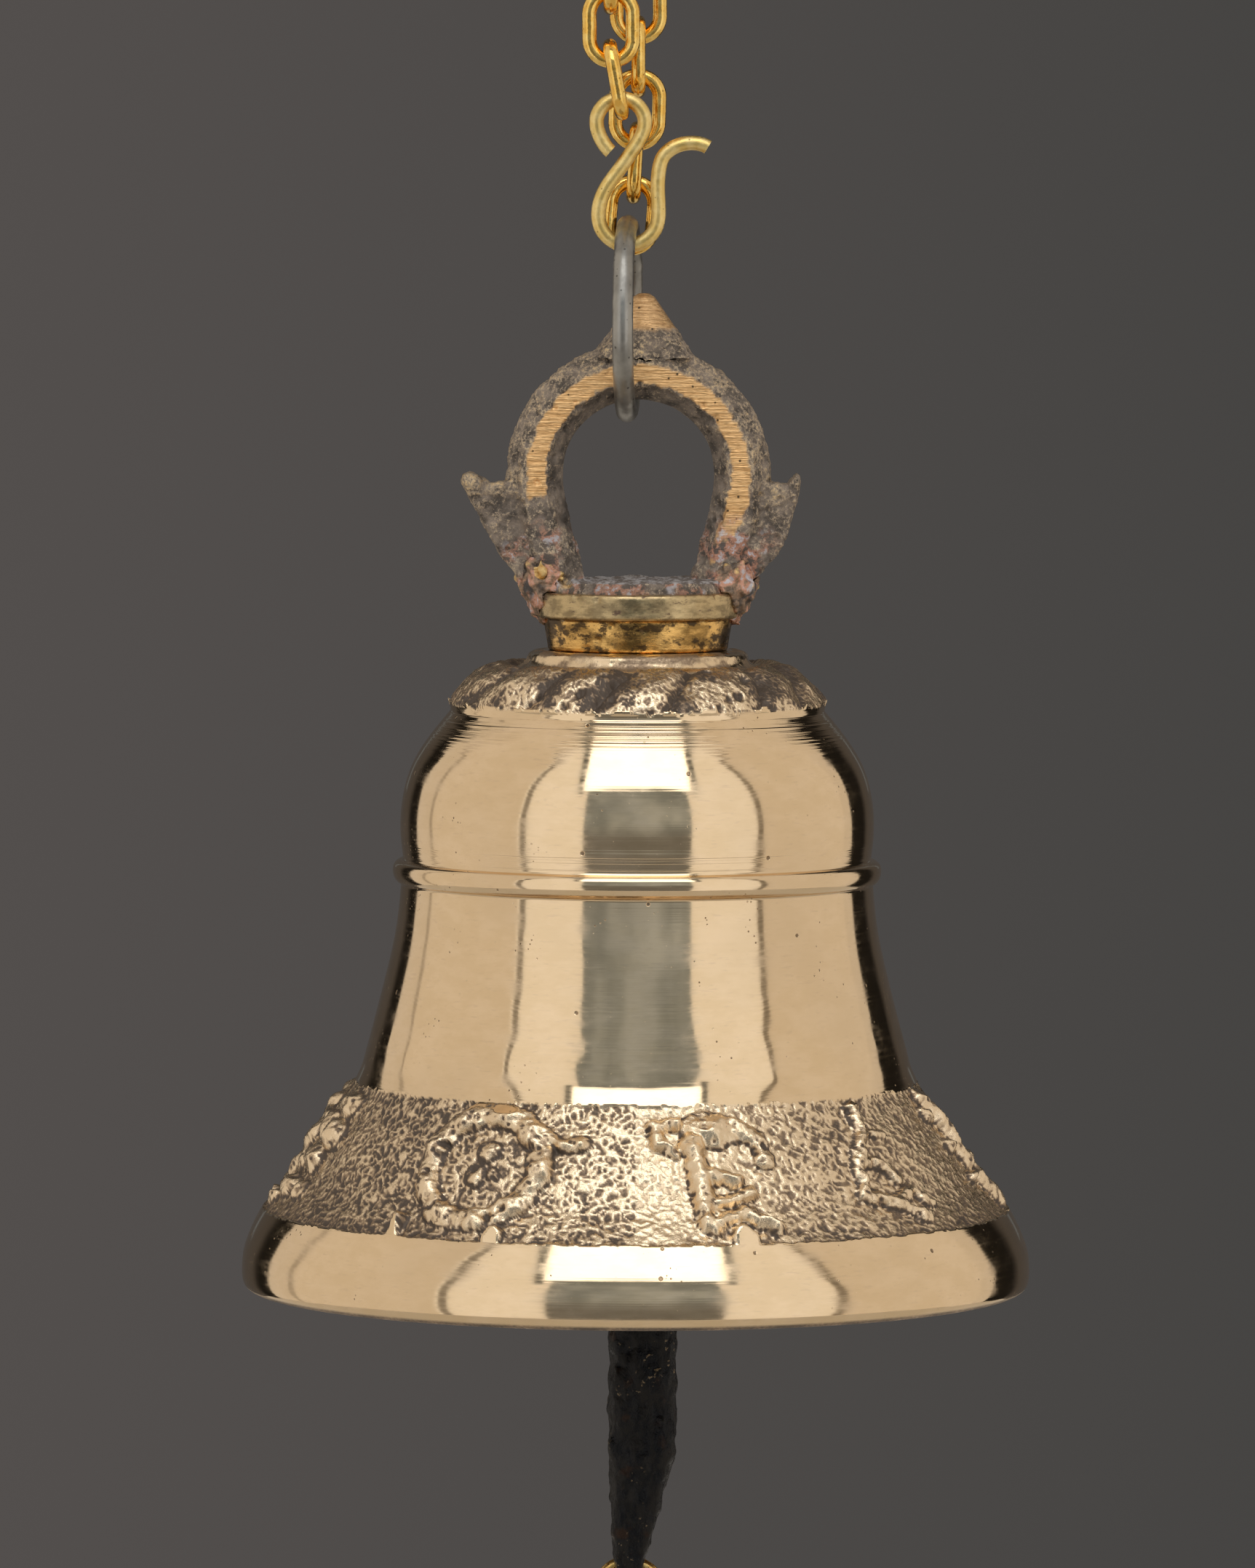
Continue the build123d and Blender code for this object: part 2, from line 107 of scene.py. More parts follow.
INSIDE = [(68.8, 1.0), (64.8, 5.0), (60.6, 14.0), (53.9, 28.0), (46.4, 42.0), (42.2, 58.0), (40.4, 76.0),
          (39.6, 92.0), (36.4, 102.0), (28.8, 109.4), (16.0, 112.6)]
AROUND = 288                           # points round the turned surfaces
PETAL_FINENESS = 3                     # times as many round the petal ring
BAND_FINENESS = 4

# Petal ring
PETALS = 14
PETAL_HEIGHT = 2.9
PETAL_LEAN = 0.55                      # of a petal's width, from the ring's top to its bottom

# Turned surfaces. Coarse turning lines start, are full, are full and end at these heights.
SCORED = ((104.5, 108.5, 114.0, 116.0), (82.0, 84.5, 86.5, 89.5))
SCORED_ELSEWHERE = 0.09

WAIST_RIPPLE = 0.08                    # height of the polishing ripples, mm
RIPPLE_TOP_H = 60.0
RIPPLE_FOOT_H = 44.4
RIM_SHADE_H = 2.1                       # painted shade: the lip is coloured as dark cast bronze below this height

# Band
MOTIF_STRENGTH = 1.1                   # scales the motifs' heights
SHADE_TURN = math.tau - math.radians(52)  # painted shade: the band's cast metal is coloured darkest here, on its left side
HIGHLIGHT_TURN = math.radians(3)          # painted highlight: the band's cast metal is coloured lightest here, cut off at the front's centre line
BAND_SINK = 0.45                       # the cast band lies this far under the turned surface


# ---------------------------------------------------------------- repeatable noise

def hashed(cell, seed):
    """A repeatable random number from 0 to 1 for each whole-numbered cell."""
    mixed = (cell[..., 0] * 73856093) ^ (cell[..., 1] * 19349663)
    mixed = mixed ^ (cell[..., 2] * 83492791) ^ (seed * 7919)
    mixed = mixed & 0x7FFFFFFF
    mixed = ((mixed ^ (mixed >> 13)) * 1274126177) & 0x7FFFFFFF
    mixed = ((mixed ^ (mixed >> 16)) * 1103515245) & 0x7FFFFFFF
    return (mixed ^ (mixed >> 11)) / 0x7FFFFFFF


def noise(points, size, seed):
    """Smooth noise of about -1 to 1 at points in mm, with swells about size mm across."""
    scaled = points / size
    base = np.floor(scaled).astype(np.int64)
    part = scaled - base
    fade = part * part * part * (part * (part * 6 - 15) + 10)
    total = np.zeros(len(points))
    for corner in range(8):
        step = np.array([corner & 1, corner >> 1 & 1, corner >> 2 & 1])
        weight = np.prod(np.where(step == 1, fade, 1 - fade), axis=1)
        slope = sum((hashed(base + step, seed + axis) * 2 - 1) * (part[:, axis] - step[axis])
                    for axis in range(3))
        total += weight * slope
    return total * 1.6


def layered(points, size, seed, layers=3):
    """Noise with finer, weaker layers added."""
    return sum(noise(points, size / 2**layer, seed + 10 * layer) / 2**layer for layer in range(layers))


def cells(points, size, seed):
    """Distance to the nearest and to the second nearest of scattered points, in units of size."""
    scaled = points / size
    base = np.floor(scaled).astype(np.int64)
    near = np.full(len(points), 9.0)
    second = near.copy()
    for index in range(27):
        cell = base + np.array([index % 3, index // 3 % 3, index // 9]) - 1
        spot = cell + np.stack([hashed(cell, seed + axis) for axis in range(3)], axis=1)
        away = np.linalg.norm(scaled - spot, axis=1)
        second = np.minimum(second, np.maximum(near, away))
        near = np.minimum(near, away)
    return near, second


def ease(value, low, high):
    """0 below low, 1 above high, and a smooth step between them."""
    part = np.clip((value - low) / (high - low), 0, 1)
    return part * part * (3 - 2 * part)


# ---------------------------------------------------------------- turned shapes

def curve(knots, step):
    """A smooth curve through the knots, with a point about every step mm."""
    knots = np.array(knots, float)
    gaps = np.linalg.norm(np.diff(knots, axis=0), axis=1)
    where = np.concatenate([[0], np.cumsum(gaps)])
    system = np.eye(len(knots))
    right = np.zeros_like(knots)
    for i in range(1, len(knots) - 1):
        system[i, i - 1:i + 2] = gaps[i - 1], 2 * (gaps[i - 1] + gaps[i]), gaps[i]
        right[i] = 6 * ((knots[i + 1] - knots[i]) / gaps[i] - (knots[i] - knots[i - 1]) / gaps[i - 1])
    bend = np.linalg.solve(system, right)
    at = np.linspace(0, where[-1], max(2, round(where[-1] / step) + 1))
    i = np.clip(np.searchsorted(where, at, side="right") - 1, 0, len(knots) - 2)
    gap = gaps[i][:, None]
    a = (where[i + 1] - at)[:, None] / gap
    b = 1 - a
    return a * knots[i] + b * knots[i + 1] + ((a**3 - a) * bend[i] + (b**3 - b) * bend[i + 1]) * gap**2 / 6


def joined(*outlines):
    """Outlines end to end, each shared point once."""
    return np.concatenate([outlines[0]] + [outline[1:] for outline in outlines[1:]])


def run_of(outline):
    """Distance travelled along an outline at each of its points."""
    return np.concatenate([[0], np.cumsum(np.linalg.norm(np.diff(outline, axis=0), axis=1))])


MARKS = ("cast", "rub", "run", "scored")


def turned(outline, around, relief=None):
    """Rings of points for an outline turned round the axis, and a dict of their values.
    relief(points, turn, run) gives each point's height along the normal, and its cast and rub values."""
    turn = np.arange(around) * math.tau / around
    along = np.gradient(outline, axis=0)
    along /= np.linalg.norm(along, axis=1)[:, None]
    radius, height = outline[:, 0][:, None], outline[:, 1][:, None]
    place = lambda r, h: np.stack([r * np.sin(turn), -r * np.cos(turn), h + 0 * turn], axis=2)
    rings = place(radius, height)
    zeros = np.zeros(rings.shape[:2])
    scored = zeros + SCORED_ELSEWHERE
    for low, full, level, high in SCORED:
        scored = np.maximum(scored, ease(height, low, full) * (1 - ease(height, level, high)) + zeros)
    values = {"cast": zeros, "rub": zeros, "run": zeros + run_of(outline)[:, None], "scored": scored}
    if relief:
        turns = np.broadcast_to(turn, zeros.shape).ravel()
        lift, cast, rub = relief(rings.reshape(-1, 3), turns, values["run"].ravel())
        lift = lift.reshape(zeros.shape)
        rings = place(radius - along[:, 1][:, None] * lift, height + along[:, 0][:, None] * lift)
        values["cast"], values["rub"] = cast.reshape(zeros.shape), rub.reshape(zeros.shape)
    return rings, values


def lathe(name, sections):
    """One closed mesh from turned sections, top to bottom. Neighbouring sections may differ in fineness."""
    points, faces, values, rings = [], [], {key: [] for key in MARKS}, []
    run_start = 0.0
    for section, marks in sections:
        for ring, *ring_values in zip(section, *(marks[key] for key in MARKS)):
            rings.append((len(points), len(ring)))
            points.extend(ring)
            for key, mark in zip(MARKS, ring_values):
                values[key].extend(mark + run_start if key == "run" else mark)
        run_start = values["run"][-1]
    for (upper, above), (lower, below) in zip(rings, rings[1:]):
        coarse = min(above, below)
        for i in range(coarse):
            top = [upper + (i * above // coarse + k) % above for k in range(above // coarse + 1)]
            low = [lower + (i * below // coarse + k) % below for k in range(below // coarse + 1)]
            faces.append(top[:1] + low + top[:0:-1])
    faces.append(list(range(rings[0][1])))
    last, count = rings[-1]
    faces.append(list(range(last + count - 1, last - 1, -1)))
    return new_piece(name, np.array(points), faces, values)


# ---------------------------------------------------------------- meshes

def new_piece(name, points, faces, values=None):
    """A smooth-shaded object from points in mm about the bell's mouth, with values on its vertices."""
    mesh = bpy.data.meshes.new(name)
    mesh.from_pydata((points * MM + BELL_ORIGIN).tolist(), [], faces)
    mesh.validate()
    for key, numbers in (values or {}).items():
        mesh.attributes.new(key, "FLOAT", "POINT").data.foreach_set("value", np.array(numbers, np.float32))
    mesh.shade_smooth()
    piece = bpy.data.objects.new(name, mesh)
    bpy.context.scene.collection.objects.link(piece)
    return piece


def remeshed(name, node, voxel):
    """A new object with a CAD node's shape in even faces voxel mm wide."""
    source = bpy.data.meshes.new(name)
    weld = bmesh.new()
    weld.from_mesh(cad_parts[node].data)
    bmesh.ops.remove_doubles(weld, verts=weld.verts, dist=0.002 * MM)
    weld.to_mesh(source)
    weld.free()
    holder = bpy.data.objects.new(name + "_source", source)
    bpy.context.scene.collection.objects.link(holder)
    grid = holder.modifiers.new("grid", "REMESH")
    grid.mode = "VOXEL"
    grid.voxel_size = voxel * MM
    relax = holder.modifiers.new("relax", "SMOOTH")
    relax.factor = 0.5
    relax.iterations = 4
    done = holder.evaluated_get(bpy.context.evaluated_depsgraph_get())
    mesh = bpy.data.meshes.new_from_object(done)
    bpy.data.objects.remove(holder)
    mesh.name = name
    mesh.materials.clear()
    mesh.shade_smooth()
    piece = bpy.data.objects.new(name, mesh)
    bpy.context.scene.collection.objects.link(piece)
    return piece


def shape_of(piece):
    """A piece's vertices in mm about the bell's mouth, and their normals."""
    mesh = piece.data
    points = np.empty(len(mesh.vertices) * 3)
    mesh.vertices.foreach_get("co", points)
    normals = np.empty(len(mesh.vertices) * 3)
    mesh.vertex_normals.foreach_get("vector", normals)
    return (points.reshape(-1, 3) - BELL_ORIGIN) / MM, normals.reshape(-1, 3)


def reshape(piece, points, **values):
    """Move a piece's vertices to points in mm about the bell's mouth, and keep named values on them."""
    piece.data.vertices.foreach_set("co", (points * MM + BELL_ORIGIN).ravel())
    for key, numbers in values.items():
        held = piece.data.attributes.new(key, "FLOAT", "POINT")
        held.data.foreach_set("value", np.asarray(numbers, np.float32))
    piece.data.update()


def finish_piece(piece, material, body, slot, *nodes):
    """Give a piece its material and body, and let it stand for CAD nodes. The slot argument is not used."""
    piece.data.materials.clear()
    piece.data.materials.append(material)
    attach(piece, body)
    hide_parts(*nodes)


# ---------------------------------------------------------------- bell relief

def nearest_on(across, down, path):
    """Distance from each point to a path of (across, down) corners."""
    best = np.full(len(across), 1e9)
    for (x0, y0), (x1, y1) in zip(path, path[1:]):
        length = (x1 - x0) ** 2 + (y1 - y0) ** 2
        part = np.clip(((across - x0) * (x1 - x0) + (down - y0) * (y1 - y0)) / length, 0, 1)
        best = np.minimum(best, np.hypot(across - x0 - part * (x1 - x0), down - y0 - part * (y1 - y0)))
    return best


def ridge(across, down, path, half_width, height):
    """A round-topped ridge along a path."""
    away = nearest_on(across, down, path) / half_width
    return height * np.clip(1 - away**2, 0, 1) ** 1.1


def lump(across, down, centre, half_width, half_height, height):
    """A round-topped oval lump."""
    away = np.hypot((across - centre[0]) / half_width, (down - centre[1]) / half_height)
    return height * np.clip(1 - away**2, 0, 1) ** 1.1


def wreath(across, down):
    """A ring of leaves round a lumpy boss, with a stalk to the right and a cut foot at either side."""
    reach = np.hypot(across / 11.4, (down - 14.0) / 11.2)
    rim = 1.8 * np.clip(1 - ((reach - 1) / 0.27) ** 2, 0, 1) ** 0.8
    rim *= 1 + 0.22 * np.sin(9 * np.arctan2(across, down - 14.0))
    dish = -0.5 * ease(reach, 0.9, 0.75)
    boss = [lump(across, down, (0.5, 10.6), 3.4, 3.0, 1.7),
            lump(across, down, (-0.8, 15.8), 3.0, 3.8, 1.5),
            lump(across, down, (2.8, 15.0), 2.0, 2.6, 1.2)]
    stalk = ridge(across, down, [(11.0, 7.0), (15.0, 8.6), (19.0, 8.2)], 1.7, 1.3)
    feet = np.maximum(ridge(across, down, [(-14.0, 26.0), (-15.6, 33.0)], 1.9, 2.4),
                      ridge(across, down, [(7.0, 28.2), (7.4, 33.0)], 2.1, 2.6))
    return np.maximum.reduce([rim, stalk, feet] + boss) + dish


def scroll(across, down):
    """An upright scroll with ledges down its right side and a cut tongue under it."""
    trunk = ridge(across, down, [(-5.0, 8.0), (-4.4, 15.0), (-4.0, 25.0)], 2.6, 2.3)
    head = lump(across, down, (-1.0, 5.2), 6.4, 4.4, 2.1)
    curl = ridge(across, down, [(-7.0, 4.0), (-11.0, 4.4), (-11.6, 8.6), (-8.4, 9.8)], 1.5, 1.9)
    shoulder = ridge(across, down, [(3.0, 4.0), (7.6, 7.4), (9.0, 12.0)], 2.2, 1.5)
    ledges = [ridge(across, down, [(-4.0, 14.6), (2.6, 16.0)], 1.8, 2.0),
              ridge(across, down, [(-3.4, 20.8), (4.6, 18.8)], 1.7, 1.9),
              ridge(across, down, [(-4.0, 26.0), (3.2, 22.6), (9.0, 26.6)], 2.1, 2.0)]
    tongue = ridge(across, down, [(2.2, 26.6), (2.4, 34.0)], 2.6, 3.4) * ease(down, 24.0, 30.0)
    return np.maximum.reduce([trunk, head, curl, shoulder, tongue] + ledges)


def branch(across, down):
    """A leafy branch that turns down and to the right."""
    bends = [(3.0, 2.0), (2.6, 7.6), (-1.4, 13.4), (-3.0, 20.4), (4.4, 22.6), (10.6, 26.8)]
    stem = ridge(across, down, bends, 1.9, 1.5)
    leaves = [ridge(across, down, [(-1.4, 13.4), (4.6, 14.4), (7.6, 17.6)], 1.5, 1.2),
              ridge(across, down, [(4.4, 22.6), (9.4, 20.2), (15.0, 23.4)], 1.5, 1.2),
              ridge(across, down, [(2.6, 7.6), (8.4, 8.4)], 1.4, 1.0)]
    return np.maximum.reduce([stem] + leaves)


def cluster(across, down):
    """Fruit-like lumps heaped from the top right to the lower left."""
    heap = [lump(across, down, centre, wide, tall, height) for centre, wide, tall, height in (
        ((3.0, 4.0), 5.2, 3.6, 2.2), ((5.0, 10.6), 4.4, 4.2, 2.6), ((-2.6, 9.4), 4.2, 4.0, 1.9),
        ((1.2, 16.4), 5.0, 3.8, 2.5), ((-6.6, 17.6), 3.4, 3.6, 1.6), ((-3.6, 23.6), 4.8, 3.6, 2.3),
        ((4.4, 23.2), 3.2, 2.8, 1.6), ((-9.0, 27.0), 3.6, 2.6, 1.8))]
    return np.maximum.reduce(heap)


def garland(across, down):
    """One long curved ridge with a row of buds."""
    spine = ridge(across, down, [(-3.6, 2.0), (-1.0, 9.0), (1.4, 16.4), (4.4, 22.0), (8.6, 27.0)], 2.5, 2.2)
    places = ((-6.4, 6.0), (-4.4, 13.4), (-1.6, 20.6), (8.0, 17.0))
    buds = [lump(across, down, centre, 2.6, 2.2, 1.8) for centre in places]
    return np.maximum.reduce([spine] + buds)


# Where each motif stands round the band, in degrees to the right of the front
MOTIFS = ((-77, cluster), (-28, wreath), (15, scroll), (44, branch), (80, garland),
          (118, wreath), (155, scroll), (188, branch), (222, cluster), (255, wreath))


def worms(points, size, seed):
    """Short winding ridges, from 0 in the valleys to 1 along the tops."""
    bends = [noise(points, size * 1.4, seed + 40 + axis) for axis in range(3)]
    bent = points + 0.5 * size * np.stack(bends, axis=1)
    return 1 - np.clip(np.abs(noise(bent, size, seed)) * 2.6, 0, 1)


def band_relief(points, turn, run):
    """The cast band with the turned waist above it and the turned lip below."""
    radius = np.hypot(points[:, 0], points[:, 1])
    down = run - BAND_TOP_RUN
    length = BAND_LOW_RUN - BAND_TOP_RUN
    inside = np.minimum(down, length - down)
    ragged = 0.22 * noise(points, 1.6, 5) + 0.16 * noise(points, 0.8, 6)
    bent = points + 0.7 * np.stack([layered(points, 3.4, 70 + axis, 2) for axis in range(3)], axis=1)
    bent_turn = turn + (bent[:, 0] - points[:, 0]) / radius
    bent_down = down + (bent[:, 2] - points[:, 2])
    motifs = np.zeros(len(points))
    for degrees, motif in MOTIFS:
        across = (bent_turn - math.radians(degrees) + math.pi) % math.tau - math.pi
        motifs = np.maximum(motifs, MOTIF_STRENGTH * motif(across * radius, bent_down))
    on_motif = ease(motifs, 0.15, 0.9)
    grain = worms(points, 1.3, 11)
    dimples = ease(0.42 - cells(points, 1.7, 15)[0], 0, 0.2)
    texture = 0.30 * grain * (1 - 0.5 * on_motif) - 0.18 * dimples * on_motif
    swell = 0.3 * layered(points, 8.0, 21, 2) + 0.35 * on_motif * layered(points, 2.6, 25, 2)
    holes = ease(0.3 - cells(points, 4.4, 31)[0], 0, 0.16) * on_motif
    edge_sink = 0.35 * ease(5.0 - (length - down), 0, 4.0)
    rough = -BAND_SINK - edge_sink + texture + swell + motifs - 0.8 * holes
    proud = 1.5 * ease(0.12 + ragged - inside, 0, 0.35)
    reach = np.where(inside < 0, 0.0, 0.03 + 0.62 * np.clip(inside, 0, 40))
    lift = np.minimum(rough + proud, reach)
    cast = 1 - ease(rough + proud - reach, -0.06, 0.05)
    # Painted shade: the cast metal round each motif's foot is coloured darker, where the relief's shadow
    # falls.
    foot = ease(motifs, 0.0, 0.12) * (1 - ease(motifs, 0.35, 1.1))
    # Painted shade: the band's left side is coloured darker, standing in for the darker reflection it shows
    # there.
    left_shade = np.exp(-((turn - SHADE_TURN) / 0.45) ** 2)
    # Painted highlight: the band's cast metal is coloured lighter round the front.
    bright = np.exp(-((turn - HIGHLIGHT_TURN) / 0.35) ** 2)
    rub = 0.19 + 0.58 * grain + 0.26 * on_motif - 0.45 * dimples * on_motif + 0.30 * swell
    rub += 0.26 * bright - 0.14 * left_shade - 0.6 * holes - 0.4 * edge_sink - 0.5 * foot
    return lift, cast, np.clip(rub, 0, 1)


def petal_relief(points, turn, run):
    """The cast petal ring: leaning rounded lobes, cut to bright crescents along the lower edge."""
    length = PETAL_RUN
    place = run / length
    wander = 0.22 * noise(points, 13.0, 51) + 0.06 * noise(points, 4.0, 52)
    lobe = turn * PETALS / math.tau + wander + PETAL_LEAN * place
    beat = np.abs((lobe % 1) - 0.5) * 2
    number = np.floor(lobe).astype(np.int64) % PETALS
    shade = hashed(np.stack([number, number * 0, number * 0], axis=1), 61)
    body = np.clip(1 - beat**2.6, 0, 1) ** 0.8 * (0.78 + 0.22 * shade)
    swell = 0.42 * layered(points, 4.6, 55, 2)
    grain = worms(points, 1.0, 58)
    holes = ease(0.3 - cells(points, 4.6, 59)[0], 0, 0.16)
    rise = ease(place, 0.0, 0.2)
    fullness = 0.35 + 0.65 * np.sin(math.pi * np.clip(place, 0, 1) ** 0.8 * 0.86)
    lobes = PETAL_HEIGHT * (0.30 + 0.70 * body) * fullness
    rough = -0.5 + rise * (lobes + swell + 0.20 * grain - 0.7 * holes)
    from_low = length - run
    edge = 0.25 + 1.5 * (1 - body) + 0.35 * noise(points, 5.0, 63)
    reach = np.where(from_low < 0, 0.0, 0.02 + 1.5 * np.clip(from_low, 0, 20))
    proud = 2.2 * ease(edge - from_low, 0, 0.5) + 1.4 * ease(0.5 - run, 0, 0.4)
    reach = np.where(run < 0.5, 0.0, reach)
    lift = np.minimum(rough + proud, reach)
    cast = 1 - ease(rough + proud - reach, -0.1, 0.04)
    dusky = ease(noise(points, 6.0, 65) + 0.85 - 0.9 * body, 0, 0.6)
    rub = 0.06 + 0.56 * grain + 0.22 * body - 0.44 * dusky - 0.6 * holes
    return lift, cast, np.clip(rub, 0, 1)


def disc_relief(points, turn, run):
    """The disc's worn edge, half covered with dark dirt."""
    dirt = ease(layered(points * np.array([1, 1, 1.8]), 5.0, 81, 3), -0.35, 0.25)
    return 0.10 * layered(points, 2.4, 83, 2), 0.25 + 0.7 * dirt, 0.30 + 0.25 * (1 - dirt)


def waist_relief(points, turn, run):
    """Shallow ripples left by the polishing wheel where the waist flares."""
    height = points[:, 2]
    swell = layered(points * np.array([1, 1, 0.6]), 6.0, 35, 2)
    fade = ease(RIPPLE_TOP_H - height, 0, 10.0) * ease(height, RIPPLE_FOOT_H, RIPPLE_FOOT_H + 2)
    return WAIST_RIPPLE * swell * fade, 0 * height, 0 * height


def inside_relief(points, turn, run):
    """The whole inside is left dull and brown as cast. Below the lip's polish the rim is painted shade,
    coloured as the same dark cast bronze.
    """
    inner = run - LIP_RUN
    cast_inside_and_rim_shade = np.maximum(ease(RIM_SHADE_H - points[:, 2], 0, 0.5), ease(inner, 0, 0.5))
    lift = ease(inner, 4.0, 8.0) * 0.25 * layered(points, 5.0, 85, 3)
    return lift, cast_inside_and_rim_shade, 0.16 + 0.14 * layered(points, 6.0, 87, 3) + 0.06 * (1 - ease(inner, 0, 2.0))


EDGE_OVERLAP = 3.0                     # the fine mesh reaches this far into the turned surface
LIP_RUN = run_of(curve(LIP, 0.5))[-1] - EDGE_OVERLAP
PETAL_RUN = run_of(curve(SHOULDER, 0.3))[-1] * 0.93
BAND_TOP_RUN = EDGE_OVERLAP
BAND_LOW_RUN = EDGE_OVERLAP + run_of(curve(BAND, 0.3))[-1]


def split_at(outline, distance):
    """An outline cut in two at a distance along it."""
    index = int(np.argmin(np.abs(run_of(outline) - distance)))
    return outline[:index + 1], outline[index:]


def bell():
    """The bell's one closed casting: disc, petals, dome, bead, waist, band, lip and inside."""
    waist, waist_edge = split_at(curve(WAIST, 0.5), run_of(curve(WAIST, 0.5))[-1] - EDGE_OVERLAP)
    lip_edge, lip = split_at(curve(LIP, 0.5), EDGE_OVERLAP)
    band = joined(curve(waist_edge, 0.3), curve(BAND, 0.3), curve(lip_edge, 0.3))
    lower = joined(lip, curve(RIM, 1.0), curve(INSIDE, 2.0))
    upper = joined(curve(DOME, 0.6), curve(BEAD, 0.25), waist)
    crown = np.array([(1.0, 124.3), (18.0, 124.3)])
    ceiling = np.array([(15.0, 112.65), (1.0, 112.7)])
    return lathe("bell_casting", [
        turned(crown, AROUND),
        turned(curve(DISC_EDGE, 0.2), AROUND, disc_relief),
        turned(curve(SHOULDER, 0.34)[1:], AROUND * PETAL_FINENESS, petal_relief),
        turned(upper[1:], AROUND, waist_relief),
        turned(band[1:], AROUND * BAND_FINENESS, band_relief),
        turned(lower[1:], AROUND, inside_relief),
        turned(ceiling, AROUND),
    ])


# ---------------------------------------------------------------- shader trees

class Shader:
    """A short way to write a node tree."""

    def __init__(self, tree):
        self.tree = tree
        tree.nodes.clear()

    def add(self, kind, inputs=(), out=0, **settings):
        """Add a node, set its properties and inputs (by name or number), and return one output."""
        made = self.tree.nodes.new("ShaderNode" + kind)
        for key, value in settings.items():
            setattr(made, key, value)
        for key, value in dict(inputs).items():
            if isinstance(value, bpy.types.NodeSocket):
                self.tree.links.new(value, made.inputs[key])
            else:
                made.inputs[key].default_value = value
        return made.outputs[out] if made.outputs else None

    def math(self, operation, a, b=0.0, c=0.0):
        return self.add("Math", {0: a, 1: b, 2: c}, operation=operation)

    def value(self, name):
        """A value kept on the mesh."""
        return self.add("Attribute", out="Fac", attribute_name=name)

    def where(self, stretch=(1, 1, 1)):
        """Object position, stretched along each axis."""
        place = self.add("TexCoord", out="Object")
        return self.add("VectorMath", {0: place, 1: stretch}, operation="MULTIPLY")

    def noise(self, place, size, detail=2.0, rough=0.5):
        """Noise from 0 to 1 with swells size mm across."""
        settings = {"Vector": place, "Scale": 1 / (size * MM), "Detail": detail, "Roughness": rough}
        return self.add("TexNoise", settings)

    def spots(self, place, size):
        """Distance to scattered points size mm apart, in units of size."""
        return self.add("TexVoronoi", {"Vector": place, "Scale": 1 / (size * MM)}, out="Distance")

    def step(self, value, low, high, to_low=0.0, to_high=1.0):
        """Ease from to_low to to_high while value goes from low to high."""
        span = {"Value": value, "From Min": low, "From Max": high, "To Min": to_low, "To Max": to_high}
        return self.add("MapRange", span, interpolation_type="SMOOTHSTEP")

    def mix(self, part, a, b):
        """A colour between two colours."""
        made = self.tree.nodes.new("ShaderNodeMix")
        made.data_type = "RGBA"
        for number, value in ((0, part), (6, a), (7, b)):
            if isinstance(value, bpy.types.NodeSocket):
                self.tree.links.new(value, made.inputs[number])
            else:
                made.inputs[number].default_value = value if number == 0 else (*value, 1)
        return made.outputs[2]

    def bump(self, height, depth, before=None):
        """A bump from height times depth mm, on top of an earlier one."""
        inputs = {"Height": height, "Distance": depth * MM, "Strength": 1.0}
        if before is not None:
            inputs["Normal"] = before
        return self.add("Bump", inputs)

    def metal(self, colour, roughness, normal=None, metallic=1.0, **more):
        """End the tree in one principled surface."""
        inputs = {"Base Color": colour if isinstance(colour, bpy.types.NodeSocket) else (*colour, 1)}
        inputs.update({"Roughness": roughness, "Metallic": metallic})
        if normal is not None:
            inputs["Normal"] = normal
        inputs.update({key.replace("_", " "): value for key, value in more.items()})
        surface = self.add("BsdfPrincipled", inputs)
        self.add("OutputMaterial", {"Surface": surface})


def new_shader(name):
    """A new material and its empty shader tree."""
    material = bpy.data.materials.new(name)
    material.use_nodes = True
    return material, Shader(material.node_tree)


# ---------------------------------------------------------------- materials

POLISHED = (0.80, 0.605, 0.375)
CAST_DARK = (0.095, 0.070, 0.052)
CAST_MID = (0.33, 0.235, 0.155)
CAST_RUBBED = (0.86, 0.68, 0.46)


